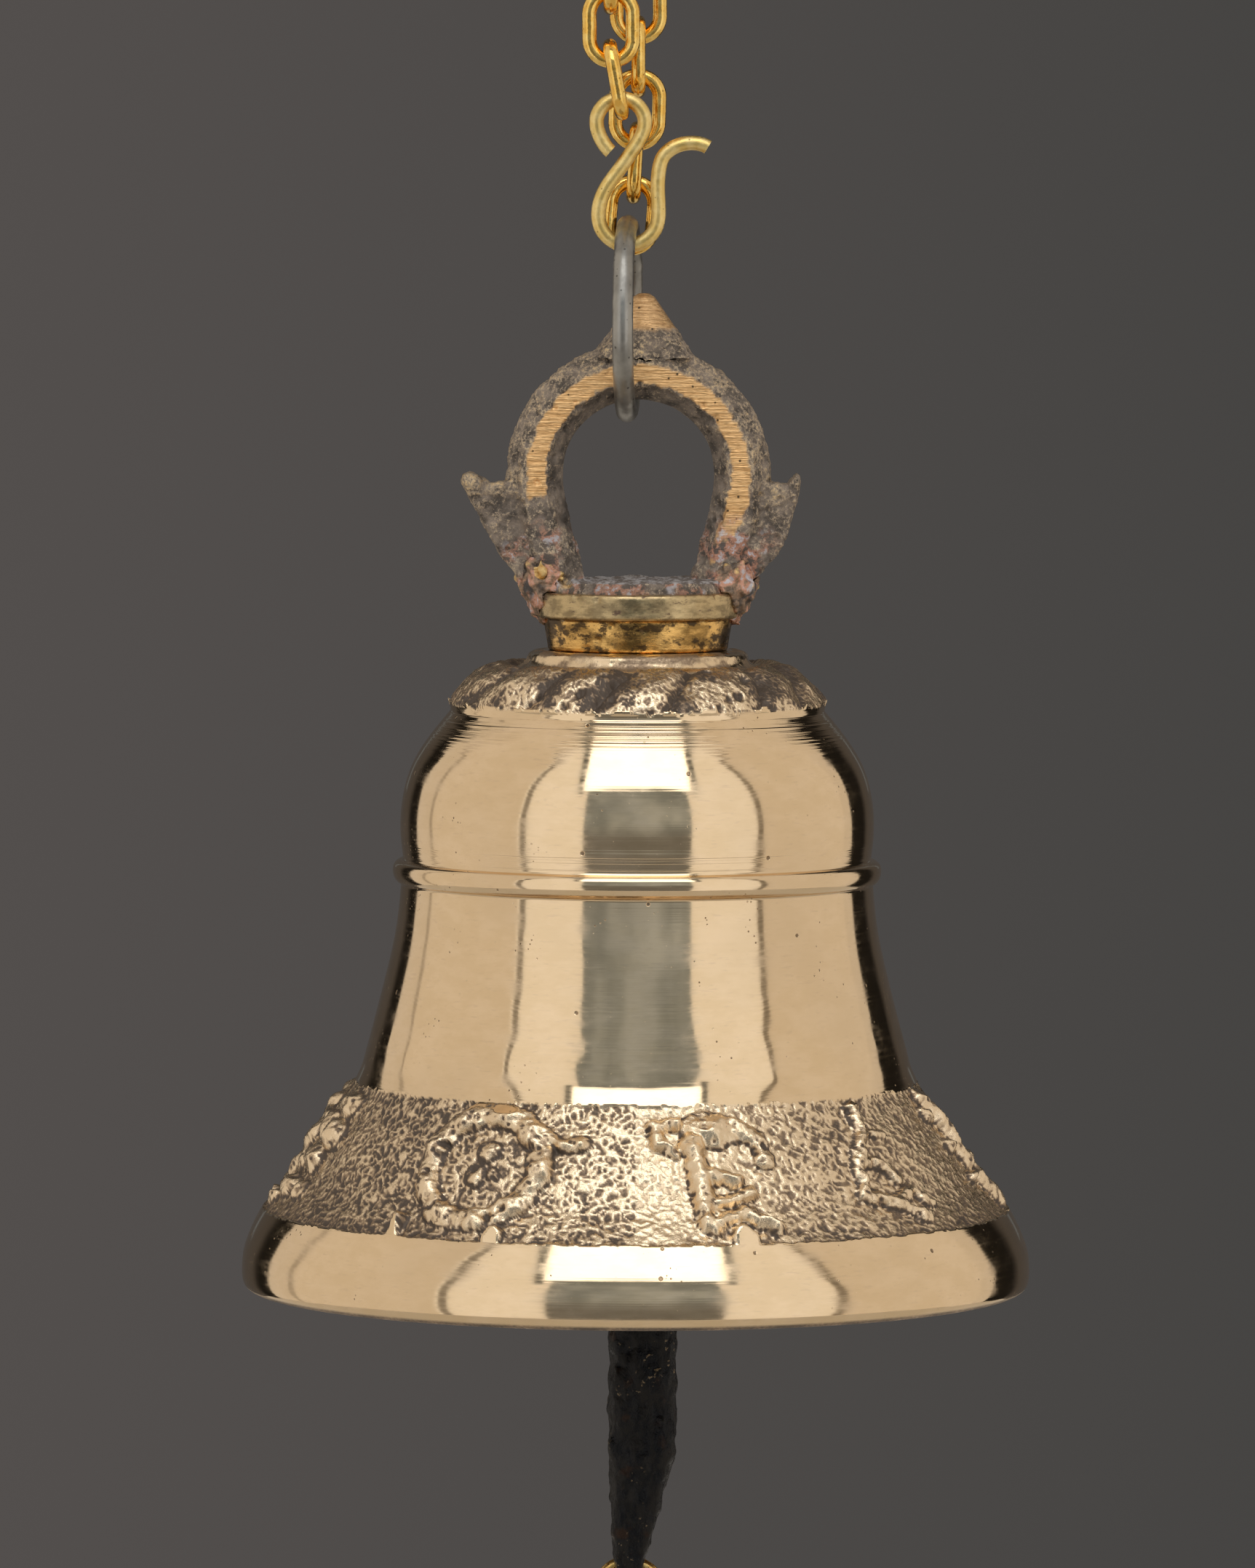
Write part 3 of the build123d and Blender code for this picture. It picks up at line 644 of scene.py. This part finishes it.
def bell_bronze():
    """Pale turned bronze, and the same metal left as cast with dark hollows and rubbed high points."""
    material, s = new_shader("bell_bronze")
    place = s.where()
    cast, rub, run = s.value("cast"), s.value("rub"), s.value("run")
    turned_away = s.math("SUBTRACT", 1.0, cast)
    along = s.add("CombineXYZ", {"Z": s.math("MULTIPLY", run, MM)})
    fine_lines = s.noise(along, 0.7, 2.0, 0.6)
    broad_lines = s.noise(along, 2.6, 2.0, 0.6)
    cutting = s.value("scored")
    drift = s.noise(place, 26, 2.0)
    smear = s.noise(s.where((1, 1, 2.2)), 8, 5.0, 0.62)
    haze = s.noise(s.where((1, 1, 5)), 3.0, 4.0, 0.65)
    pits = s.step(s.spots(place, 7.5), 0.040, 0.065, 1.0, 0.0)
    clusters = s.step(s.noise(place, 9, 2), 0.60, 0.66)
    specks = s.math("MULTIPLY", s.step(s.spots(place, 1.3), 0.10, 0.16, 1.0, 0.0), clusters)
    marks = s.math("MAXIMUM", pits, specks)
    scratch_place = s.add("Mapping", {"Vector": place, "Rotation": (0.5, 0.3, 0.4), "Scale": (1, 0.05, 1)})
    scratches = s.step(s.noise(scratch_place, 0.42, 1.0), 0.79, 0.83)
    polished = s.mix(s.step(smear, 0.35, 0.70), POLISHED, (0.86, 0.66, 0.43))
    polished = s.mix(s.step(drift, 0.45, 0.75, 0.0, 0.5), polished, (0.75, 0.58, 0.38))
    polished = s.mix(s.step(haze, 0.56, 0.72, 0.0, 0.35), polished, (0.66, 0.50, 0.34))
    polished = s.mix(s.math("MULTIPLY", marks, 0.8), polished, (0.16, 0.10, 0.06))
    grit = s.noise(place, 0.6, 3.0, 0.7)
    high = s.math("ADD", rub, s.math("MULTIPLY", s.math("SUBTRACT", grit, 0.5), 0.55))
    rough_colour = s.mix(s.step(high, 0.08, 0.34), CAST_DARK, CAST_MID)
    rough_colour = s.mix(s.step(high, 0.26, 0.60), rough_colour, CAST_RUBBED)
    colour = s.mix(cast, polished, rough_colour)
    lined_rough = s.step(fine_lines, 0.3, 0.8, 0.05, 0.12)
    smooth_rough = s.math("ADD", lined_rough, s.step(smear, 0.42, 0.75, 0.0, 0.09))
    cast_rough = s.step(high, 0.15, 0.7, 0.55, 0.20)
    smooth_part = s.math("MULTIPLY", smooth_rough, turned_away)
    roughness = s.math("ADD", s.math("MULTIPLY", cast_rough, cast), smooth_part)
    lines = s.math("ADD", s.math("MULTIPLY", fine_lines, 0.8), broad_lines)
    normal = s.bump(s.math("MULTIPLY", s.math("MULTIPLY", lines, cutting), turned_away), 0.20)
    normal = s.bump(s.math("MULTIPLY", s.noise(place, 14, 2.0), turned_away), 0.09, normal)
    dents = s.math("ADD", s.math("MULTIPLY", marks, -1.0), s.math("MULTIPLY", scratches, -0.35))
    normal = s.bump(s.math("MULTIPLY", dents, turned_away), 0.09, normal)
    normal = s.bump(s.math("MULTIPLY", grit, cast), 0.13, normal)
    metallic = s.math("SUBTRACT", 1.0, s.math("MULTIPLY", cast, s.step(high, 0.08, 0.4, 0.6, 0.0)))
    s.metal(colour, roughness, normal, metallic)
    return material


def cast_bronze():
    """The crown loop: sand-cast and burnt dark, gold specks on the high points, orange where ground."""
    material, s = new_shader("cast_bronze")
    place = s.where()
    ground, rub, flux = s.value("ground"), s.value("rub"), s.value("flux")
    rough_part = s.math("SUBTRACT", 1.0, ground)
    grit = s.noise(place, 0.55, 4.0, 0.8)
    cloud = s.noise(place, 3.0, 4.0, 0.6)
    high = s.math("ADD", rub, s.math("MULTIPLY", s.math("SUBTRACT", grit, 0.5), 2.2))
    burnt = s.mix(s.step(cloud, 0.32, 0.68), (0.080, 0.065, 0.053), (0.310, 0.248, 0.195))
    colour = s.mix(s.step(high, 0.30, 0.66), burnt, (0.54, 0.43, 0.31))
    colour = s.mix(s.step(high, 0.66, 0.88), colour, (0.80, 0.60, 0.34))
    brush_place = s.add("Mapping", {"Vector": place, "Rotation": (0.0, 0.09, 0.0), "Scale": (0.04, 0.3, 1)})
    brush = s.noise(brush_place, 0.36, 3.0, 0.7)
    face = s.mix(s.step(brush, 0.36, 0.64), (0.60, 0.34, 0.14), (0.96, 0.62, 0.30))
    face = s.mix(s.step(s.spots(place, 2.2), 0.08, 0.14, 0.9, 0.0), face, (0.05, 0.035, 0.025))
    colour = s.mix(ground, colour, face)
    residue = s.noise(place, 2.2, 4.0, 0.65)
    red = s.mix(s.step(residue, 0.42, 0.52), (0.110, 0.086, 0.072), (0.50, 0.25, 0.165))
    pale = s.mix(s.step(residue, 0.54, 0.62), red, (0.58, 0.55, 0.58))
    patchy = s.math("MULTIPLY", flux, s.step(s.noise(place, 4.5, 3.0), 0.44, 0.58))
    colour = s.mix(patchy, colour, pale)
    film = s.mix(s.step(residue, 0.42, 0.60), (0.16, 0.130, 0.110), (0.44, 0.41, 0.40))
    colour = s.mix(s.step(flux, 1.0, 1.3), colour, film)
    roughness = s.math("ADD", 0.36, s.math("MULTIPLY", rough_part, s.step(high, 0.4, 0.9, 0.26, -0.06)))
    normal = s.bump(s.math("MULTIPLY", brush, ground), 0.30)
    normal = s.bump(s.math("MULTIPLY", grit, rough_part), 0.34, normal)
    bare = s.math("SUBTRACT", 1.0, s.math("MULTIPLY", s.step(flux, 0.0, 1.2), 0.9))
    metallic = s.math("MULTIPLY", bare, s.math("MAXIMUM", ground, s.step(high, 0.35, 0.70, 0.3, 1.0)))
    s.metal(colour, roughness, normal, metallic)
    return material


def braze_metal():
    """Braze run: pitted dark gold metal with patches of red, pink and white flux residue."""
    material, s = new_shader("braze")
    place = s.where()
    rub = s.value("rub")
    cloud = s.noise(place, 3.4, 4.0, 0.65)
    grit = s.noise(place, 0.7, 4.0, 0.7)
    colour = s.mix(s.step(cloud, 0.34, 0.48), (0.115, 0.092, 0.076), (0.34, 0.235, 0.160))
    colour = s.mix(s.step(cloud, 0.47, 0.54), colour, (0.62, 0.33, 0.225))
    colour = s.mix(s.step(cloud, 0.56, 0.64), colour, (0.62, 0.58, 0.60))
    colour = s.mix(s.step(s.noise(place, 5.0, 2.0), 0.58, 0.66), colour, (0.10, 0.09, 0.085))
    high = s.math("ADD", rub, s.math("MULTIPLY", grit, 0.4))
    colour = s.mix(s.step(high, 0.78, 1.0), colour, (0.80, 0.56, 0.24))
    normal = s.bump(grit, 0.35)
    s.metal(colour, s.step(grit, 0.3, 0.7, 0.30, 0.60), normal, s.step(cloud, 0.48, 0.6, 0.75, 0.1))
    return material


def collar_brass():
    """Turned brass: an olive, scuffed upper band over a dark gold, mottled lower one."""
    material, s = new_shader("collar_brass")
    place = s.where()
    upper, run = s.value("upper"), s.value("run")
    along = s.add("CombineXYZ", {"Z": s.math("MULTIPLY", run, MM)})
    lines = s.noise(along, 0.35, 3.0, 0.65)
    scuff = s.noise(s.where((1, 1, 2.5)), 5.0, 4.0, 0.6)
    stain = s.noise(s.where((1, 1, 1.8)), 2.8, 5.0, 0.72)
    patch = s.noise(place, 9.0, 2.0)
    olive = s.mix(s.step(scuff, 0.38, 0.6), (0.30, 0.225, 0.122), (0.60, 0.455, 0.245))
    olive = s.mix(s.step(stain, 0.56, 0.68), olive, (0.15, 0.095, 0.065))
    gold = s.mix(s.step(scuff, 0.40, 0.62), (0.36, 0.215, 0.07), (0.88, 0.54, 0.18))
    stained = s.math("ADD", stain, s.step(patch, 0.35, 0.62, -0.12, 0.05))
    gold = s.mix(s.step(stained, 0.44, 0.56, 0.0, 0.9), gold, (0.060, 0.040, 0.024))
    colour = s.mix(upper, gold, olive)
    roughness = s.math("ADD", s.step(stain, 0.4, 0.65, 0.16, 0.42), s.math("MULTIPLY", upper, 0.10))
    normal = s.bump(lines, 0.035)
    normal = s.bump(stain, 0.08, normal)
    s.metal(colour, roughness, normal, s.step(stain, 0.5, 0.7, 1.0, 0.7))
    return material


def forged_iron():
    """Black forge scale, glossy on the hammered flats, brown in places."""
    material, s = new_shader("forged_iron")
    place = s.where()
    scale = s.noise(s.where((1, 1, 0.6)), 2.2, 5.0, 0.65)
    grit = s.noise(place, 0.7, 4.0, 0.7)
    flakes = s.spots(s.where((1, 1, 0.5)), 2.6)
    colour = s.mix(s.step(scale, 0.4, 0.62), (0.005, 0.005, 0.006), (0.014, 0.012, 0.010))
    colour = s.mix(s.step(s.noise(place, 6.0, 3.0), 0.6, 0.7), colour, (0.026, 0.013, 0.007))
    worn = s.step(s.noise(place, 7.0, 1.0), 0.52, 0.60)
    flecks = s.math("MULTIPLY", s.step(s.noise(place, 0.9, 3.0), 0.62, 0.68), worn)
    colour = s.mix(flecks, colour, (0.20, 0.145, 0.085))
    normal = s.bump(s.step(flakes, 0.1, 0.6), 0.22)
    normal = s.bump(scale, 0.5, normal)
    normal = s.bump(grit, 0.10, normal)
    s.metal(colour, s.step(scale, 0.35, 0.7, 0.18, 0.40), normal, 0.2, Specular_IOR_Level=0.20)
    return material


def galvanised_steel():
    """Dull zinc with soft drawn streaks and a few dark handling marks."""
    material, s = new_shader("galvanised_steel")
    place = s.where()
    cloud = s.noise(place, 5.5, 3.0, 0.55)
    fine = s.noise(place, 0.7, 3.0, 0.6)
    colour = s.mix(s.step(cloud, 0.3, 0.7), (0.225, 0.215, 0.195), (0.375, 0.360, 0.325))
    colour = s.mix(s.step(s.spots(place, 2.0), 0.09, 0.15, 0.8, 0.0), colour, (0.07, 0.066, 0.062))
    normal = s.bump(s.math("ADD", cloud, s.math("MULTIPLY", fine, 0.35)), 0.05)
    s.metal(colour, s.step(fine, 0.3, 0.7, 0.30, 0.42), normal, 0.92)
    return material


def plain_brass(name, deep, bright, polish, dents):
    """Brass wire with soft dents and faint rubbing marks."""
    material, s = new_shader(name)
    place = s.where()
    cloud = s.noise(place, 2.2, 4.0, 0.6)
    fine = s.noise(place, 0.6, 3.0, 0.65)
    colour = s.mix(s.step(cloud, 0.38, 0.66), deep, bright)
    pit = tuple(0.28 * part for part in deep)
    colour = s.mix(s.step(s.spots(place, 1.9), 0.07, 0.12, 0.75, 0.0), colour, pit)
    normal = s.bump(s.math("ADD", s.math("MULTIPLY", cloud, 0.8), s.math("MULTIPLY", fine, 0.25)), dents)
    s.metal(colour, s.step(cloud, 0.3, 0.7, polish, polish + 0.12), normal)
    return material


# ---------------------------------------------------------------- sculpted pieces

LOOP_CENTRE_H = 157.7
LOOP_MIDDLE_R = 19.7
LOOP_FACE = 6.0                        # how far forward the loop's ground face stands
FACE_HALF = 2.0                        # half the ground strip's width
LEFT_FACE_END = 153.7                  # height where grinding stops on each leg
RIGHT_FACE_END = 140.5
FEET = ((-18.0, 140.0), (18.4, 141.0))
GAS_HOLES = ((-18.6, 139.4), (-14.0, 137.6))
HOLE_R = 1.5
PEAK_FROM_H = 186.0                    # the peak's ground cone starts here
PLINTH_FOOT_H = 135.5
FILM_TOP_H = 140.0                     # the plinth's top, under this height, has a grey film
FILM_HALF = 17.0
DARKER_BELOW_H = 157.0                     # coloured darker below here, towards the bottom
THORN_SWELL = 1.15                     # how much blunter the thorns are than in the CAD, and how far in
THORN_REACH = 10.0
RIGHT_THORN_X = 28.5                   # the right thorn is blunt from here on


def gas_holes(points):
    """1 inside the two open gas holes at the front of the left foot, and 0 away from them."""
    across, forward, height = points.T
    holes = [ease(HOLE_R - np.hypot(across - x, height - h), 0, 0.6) for x, h in GAS_HOLES]
    return np.maximum.reduce(holes) * (forward < -3.0)


def crown_loop(material):
    """The rough loop, ground to a flat strip on its front and back, with flux round its feet."""
    piece = remeshed("loop_casting", "crown_loop", 0.36)
    points, normals = shape_of(piece)
    across, forward, height = points.T
    coarse = layered(points, 3.6, 101, 3)
    grain = worms(points, 1.3, 107)
    cell = cells(points, 3.0, 109)[0]
    away = np.hypot(across, height - LOOP_CENTRE_H)
    inner = ease(LOOP_MIDDLE_R - 3.4 - away, 0.0, 1.2) * ease(height, 150, 158)
    peak = ease(height + 0.5 * noise(points, 2.4, 111), PEAK_FROM_H - 0.5, PEAK_FROM_H + 0.5)
    smooth = np.maximum(0.85 * inner, peak)
    lift = 0.36 * coarse + 0.22 * (grain - 0.4) - 0.55 * ease(0.28 - cell, 0, 0.14)
    lift -= 1.0 * gas_holes(points)
    for tip in (points[np.argmin(across)], points[np.argmax(across)]):
        lift += THORN_SWELL * ease(THORN_REACH - np.linalg.norm(points - tip, axis=1), 0, THORN_REACH)
    under = ease(-normals[:, 2], 0.3, 0.8) * ease(PLINTH_FOOT_H + 1.0 - height, 0, 0.8)
    moved = points + normals * (lift * (1 - smooth) * (1 - under) - 0.12 * inner + 0.5 * under)[:, None]
    reach = moved[:, 0] - RIGHT_THORN_X
    moved[:, 0] -= np.where(reach > 0, 0.5 * reach, 0)
    end = np.where(across < 0, LEFT_FACE_END, RIGHT_FACE_END)
    wavy = 0.45 * noise(points, 3.2, 113) + 0.35 * noise(points, 1.5, 115) + 0.35 * noise(points, 0.9, 117)
    strip = ease(FACE_HALF + wavy - np.abs(away - LOOP_MIDDLE_R), 0.0, 0.35)
    strip *= ease(height + 3 * wavy, end - 0.4, end + 0.6)
    inward = np.sign(moved[:, 1]) * np.minimum(np.abs(moved[:, 1]), LOOP_FACE - 0.12 * (1 - strip))
    facing = ease(np.abs(forward), 4.6, 5.4) * ease(height, 139.0, 141.0)
    moved[:, 1] += facing * (inward - moved[:, 1])
    ground = strip * facing
    flux = np.zeros(len(points))
    for x, h in FEET:
        flux = np.maximum(flux, ease(11.0 - np.hypot(across - x, height - h), 0, 6.0))
    flux = np.maximum(flux, 0.8 * ease(139.0 - height, 0, 1.0) * ease(15.0 - np.abs(across), 0, 2.0))
    on_plinth = ease(FILM_TOP_H - height, 0, 1.0) * ease(FILM_HALF - np.abs(across), 0, 1.0)
    film = ease(normals[:, 2], 0.3, 0.7) * on_plinth
    flux = np.maximum(flux, 1.5 * film) * (1 - gas_holes(points))
    shaded = ease(LOOP_MIDDLE_R - 1.8 - away, 0, 1.5)
    # The loop is coloured darker towards the bottom.
    darker_low = ease(DARKER_BELOW_H - height, 0.0, 8.0)
    rub = 0.40 + 0.16 * coarse + 0.34 * (grain - 0.35)
    rub += 0.6 * gas_holes(points) - 0.22 * shaded - 0.13 * darker_low
    reshape(piece, moved, ground=np.maximum(ground, 0.8 * peak), rub=np.clip(rub, 0, 1.2), flux=flux)
    finish_piece(piece, material, "bell", "cast_bronze", "crown_loop")


def braze(node, seed, material):
    """A lumpy, pitted braze run."""
    piece = remeshed(node + "_run", node, 0.3)
    points, normals = shape_of(piece)
    coarse = layered(points, 3.4, seed, 3)
    near, second = cells(points, 3.6, seed + 5)
    holes = ease(0.34 - near, 0, 0.1)
    beads = ease(second - near, 0.0, 0.5)
    lift = 0.75 * coarse + 0.5 * (beads - 0.5) - 1.1 * holes - 1.3 * gas_holes(points)
    rub = 0.3 + 0.5 * coarse + 0.2 * beads - 0.6 * holes + gas_holes(points)
    reshape(piece, points + normals * lift[:, None], rub=np.clip(rub, 0, 1))
    finish_piece(piece, material, "bell", "braze", node)


COLLAR = [(1.0, 124.4), (17.1, 124.4), (17.3, 124.8), (18.2, 130.4), (19.1, 130.6), (19.4, 130.9),
          (19.5, 131.3), (19.5, 134.9), (19.2, 135.4), (18.6, 135.5), (1.0, 135.5)]


def collar_relief(points, turn, run):
    """Small dents and a slightly wavy top edge."""
    edge = ease(np.hypot(points[:, 0], points[:, 1]), 16.5, 18.6)
    dents = ease(0.2 - cells(points, 4.4, 133)[0], 0, 0.1)
    lift = edge * (0.10 * layered(points, 4.0, 131, 2) - 0.35 * dents)
    return lift, points[:, 2] * 0, points[:, 2] * 0


def collar(material):
    """The two-step turned collar."""
    corners = np.array(COLLAR)
    outline = joined(*[curve([a, b], 0.35) for a, b in zip(corners[::-1], corners[::-1][1:])])
    rings, marks = turned(outline, AROUND, collar_relief)
    piece = lathe("collar_turning", [(rings, marks)])
    points, _ = shape_of(piece)
    reshape(piece, points, upper=ease(points[:, 2], 130.4, 130.7))
    finish_piece(piece, material, "bell", "collar_brass", "crown_collar")


def hammered(node, name, voxel, dent, material, body):
    """A forged iron piece with hammer flats and scale."""
    piece = remeshed(name, node, voxel)
    points, normals = shape_of(piece)
    near, second = cells(points * np.array([1, 1, 0.6]), 7.0, 151)
    flats = ease(second - near, 0.0, 0.45) - 0.6
    lift = dent * (0.8 * flats + 1.1 * layered(points, 6.0, 153, 3) + 0.25 * noise(points, 1.3, 157))
    reshape(piece, points + normals * lift[:, None])
    finish_piece(piece, material, body, "forged_iron", node)


RING_WIRES = {"suspension_ring": 4.0, "clapper_link": 4.0, "pull_ring": 2.4}
RING_YAW = math.radians(3)


def wire_ring(name, node, facing, material, body, slot, seam=0.0):
    """A closed ring of round wire in place of a CAD ring, with a slight weld swelling."""
    low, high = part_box(node)
    centre = ((np.array(low) + np.array(high)) / 2 - BELL_ORIGIN) / MM
    across = (high.z - low.z) / MM
    facing = np.array(Vector(facing).normalized())
    level = np.cross((0, 0, 1), facing)
    wire = RING_WIRES[node] / 2
    radius = across / 2 - wire
    around, sides = 160, 28
    points, faces = [], []
    for i in range(around):
        turn = math.tau * i / around
        out = level * math.cos(turn) + np.array((0, 0, 1)) * math.sin(turn)
        swell = wire * (1 + seam * math.exp(-((turn - 0.6) * radius / 1.6) ** 2))
        for k in range(sides):
            side = math.tau * k / sides
            outward = out * (radius + swell * math.cos(side))
            points.append(centre + outward + facing * swell * math.sin(side))
            j, m = (i + 1) % around, (k + 1) % sides
            faces.append((i * sides + k, j * sides + k, j * sides + m, i * sides + m))
    points = np.array(points)
    points += 0.04 * np.stack([noise(points, 2.2, 171 + axis) for axis in range(3)], axis=1)
    piece = new_piece(name, points, faces)
    finish_piece(piece, material, body, slot, node)


# ---------------------------------------------------------------- studio

def studio_light():
    """A pale light tent, dark behind the camera and behind the bell, with one soft box overhead in front.
    It is painted by direction, and the camera itself sees a grey backdrop with painted light falloff,
    lighter on the left and darker on the right."""
    world = bpy.data.worlds.new("studio")
    world.use_nodes = True
    bpy.context.scene.world = world
    s = Shader(world.node_tree)
    direction = s.add("TexCoord", out="Generated")
    x, y, z = (s.add("SeparateXYZ", {0: direction}, out=axis) for axis in range(3))
    to_front = s.math("MULTIPLY", y, -1.0)
    signed_turn = s.math("DEGREES", s.math("ARCTAN2", x, to_front))
    turn = s.math("ABSOLUTE", signed_turn)
    rise = s.math("DEGREES", s.math("ARCTAN2", z, to_front))
    aside = s.math("ABSOLUTE", s.math("DEGREES", s.math("ARCSINE", x)))
    clutter = s.add("TexNoise", {"Vector": direction, "Scale": 4.0, "Detail": 5.0})
    gap = s.mix(s.step(clutter, 0.30, 0.70), CLUTTER_DARK, CLUTTER_PALE)
    gap = s.mix(s.step(rise, -6.0, 9.0, 0.85, 0.0), gap, LEVEL_SHADE)
    gap = s.mix(s.step(rise, 24.0, 32.0, 0.0, 0.6), gap, HIGH_SHADE)
    colour = s.mix(s.step(turn, GAP_HALF, GAP_HALF + 1), gap, TENT_NEAR)
    colour = s.mix(s.step(turn, SIDE_FROM, SIDE_FROM + 1), colour, TENT_SIDE)
    colour = s.mix(s.step(turn, BACK_FROM, BACK_FROM + 1), colour, TENT_BACK)
    seams = 0.0
    for place, half, darkness in TENT_SEAMS:
        away = s.math("ABSOLUTE", s.math("SUBTRACT", signed_turn, place))
        seams = s.math("ADD", seams, s.step(away, half, half + 1.2, darkness, 0.0))
    colour = s.mix(seams, colour, SEAM_BROWN)
    dark_from = s.step(signed_turn, -10.0, 10.0, DARK_FROM_LEFT, DARK_FROM_RIGHT)
    colour = s.mix(s.step(s.math("SUBTRACT", turn, dark_from), 0.0, 1.5), colour, BLACK_FLAG)
    colour = s.mix(s.step(turn, BACKDROP_FROM, BACKDROP_FROM + 9), colour, BACKDROP_DIM)
    side_limit = s.step(rise, 25.0, 88.0, 26.0, 16.0)
    beside = s.math("SUBTRACT", aside, side_limit)
    frame_part = s.math("MULTIPLY", s.step(rise, 30.0, 31.5), s.step(beside, 1.6, 2.4, 1.0, 0.0))
    colour = s.mix(s.math("MULTIPLY", frame_part, s.step(beside, -1.0, 0.0)), colour, FRAME_GREY)
    under_top = s.step(rise, BOX_HIGH, BOX_HIGH + 1.5, 1.0, 0.0)
    over = s.math("MULTIPLY", s.step(rise, BOX_LOW, BOX_LOW + 1), under_top)
    box = s.math("MULTIPLY", over, s.step(beside, -1.2, -0.6, 1.0, 0.0))
    under_arm = s.step(rise, BOOM_HIGH, BOOM_HIGH + 3, 1.0, 0.0)
    boom = s.math("MULTIPLY", s.step(rise, BOX_HIGH, BOX_HIGH + 1.5), under_arm)
    boom = s.math("MULTIPLY", boom, s.step(beside, 2.0, 4.0, 1.0, 0.0))
    colour = s.mix(boom, colour, BOOM_GREY)
    colour = s.mix(box, colour, BOX_WHITE)
    # Painted light falloff on the backdrop: lighter on the left, darker on the right.
    side = s.add("SeparateXYZ", {0: s.add("TexCoord", out="Window")}, out=0)
    backdrop = s.mix(side, BACKDROP_LEFT, BACKDROP_RIGHT)
    seen = s.add("LightPath", out="Is Camera Ray")
    background = s.add("Background", {"Color": s.mix(seen, colour, backdrop)})
    s.add("OutputWorld", {"Surface": background})


def floor():
    """A plain pale round floor. It doesn't hide the bell from a camera under it."""
    material, s = new_shader("pale_floor")
    pale = s.add("BsdfDiffuse", {"Color": (0.72, 0.69, 0.64, 1)})
    clear = s.add("BsdfTransparent")
    under = s.add("NewGeometry", out="Backfacing")
    s.add("OutputMaterial", {"Surface": s.add("MixShader", {0: under, 1: pale, 2: clear})})
    turns = [math.tau * k / FLOOR_SIDES for k in range(FLOOR_SIDES)]
    rim = [(FLOOR_R * math.cos(turn), FLOOR_R * math.sin(turn)) for turn in turns]
    height = CAD_BOX[0][2] - FLOOR_DROP
    mesh = bpy.data.meshes.new("floor")
    mesh.from_pydata([(x, y, height) for x, y in rim], [], [list(range(FLOOR_SIDES))])
    mesh.materials.append(material)
    piece = bpy.data.objects.new("floor", mesh)
    bpy.context.scene.collection.objects.link(piece)


def camera():
    """A long lens a little above the bell, looking slightly down at it."""
    aim = Vector(BELL_ORIGIN + np.array((AIM_RIGHT, 0, AIM_HEIGHT)) * MM)
    back = Vector((0, -math.cos(VIEW_ELEVATION), math.sin(VIEW_ELEVATION)))
    data = bpy.data.cameras.new("camera")
    data.sensor_width = 36
    data.lens = data.sensor_width * CAMERA_DISTANCE / VIEW_HEIGHT
    data.clip_start = 0.1
    data.clip_end = 50
    view = bpy.data.objects.new("camera", data)
    view.location = aim + back * CAMERA_DISTANCE
    view.rotation_mode = "QUATERNION"
    view.rotation_quaternion = (-back).to_track_quat("-Z", "Y") @ Quaternion((0, 0, 1), CAMERA_ROLL)
    bpy.context.scene.collection.objects.link(view)
    bpy.context.scene.camera = view


# ---------------------------------------------------------------- the whole bell

BRASS_LINK = plain_brass("chain_brass", (0.86, 0.51, 0.11), (0.98, 0.68, 0.21), 0.10, 0.09)
ROD = plain_brass("rod_brass", (0.80, 0.57, 0.19), (0.93, 0.72, 0.31), 0.36, 0.10)
RING_BRASS = plain_brass("ring_brass", (0.74, 0.46, 0.14), (0.90, 0.63, 0.24), 0.18, 0.10)
IRON = forged_iron()
BRAZE = braze_metal()

finish_piece(bell(), bell_bronze(), "bell", "bell_bronze", "bell_body")
crown_loop(cast_bronze())
braze("braze_left", 121, BRAZE)
braze("braze_right", 141, BRAZE)
collar(collar_brass())
hammered("clapper", "clapper_forging", 0.5, 0.5, IRON, "clapper")
hammered("clapper_staple", "staple_forging", 0.4, 0.18, IRON, "bell")
wire_ring("clapper_link_ring", "clapper_link", (1, 0, 0), IRON, "clapper_link", "forged_iron", 0.12)
wire_ring("steel_ring", "suspension_ring", (math.cos(RING_YAW), -math.sin(RING_YAW), 0), galvanised_steel(),
          "suspension_ring", "galvanised_steel", 0.08)
wire_ring("brass_ring", "pull_ring", (0, -1, 0), RING_BRASS, "pull_ring", "ring_brass", 0.06)

for link in [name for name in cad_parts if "link_" in name or name == "top_link"] + ["s_hook"]:
    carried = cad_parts[link]
    carried.data.materials.clear()
    carried.data.materials.append(ROD if link == "s_hook" else BRASS_LINK)

bpy.context.scene.view_settings.view_transform = "Standard"
studio_light()
floor()
camera()
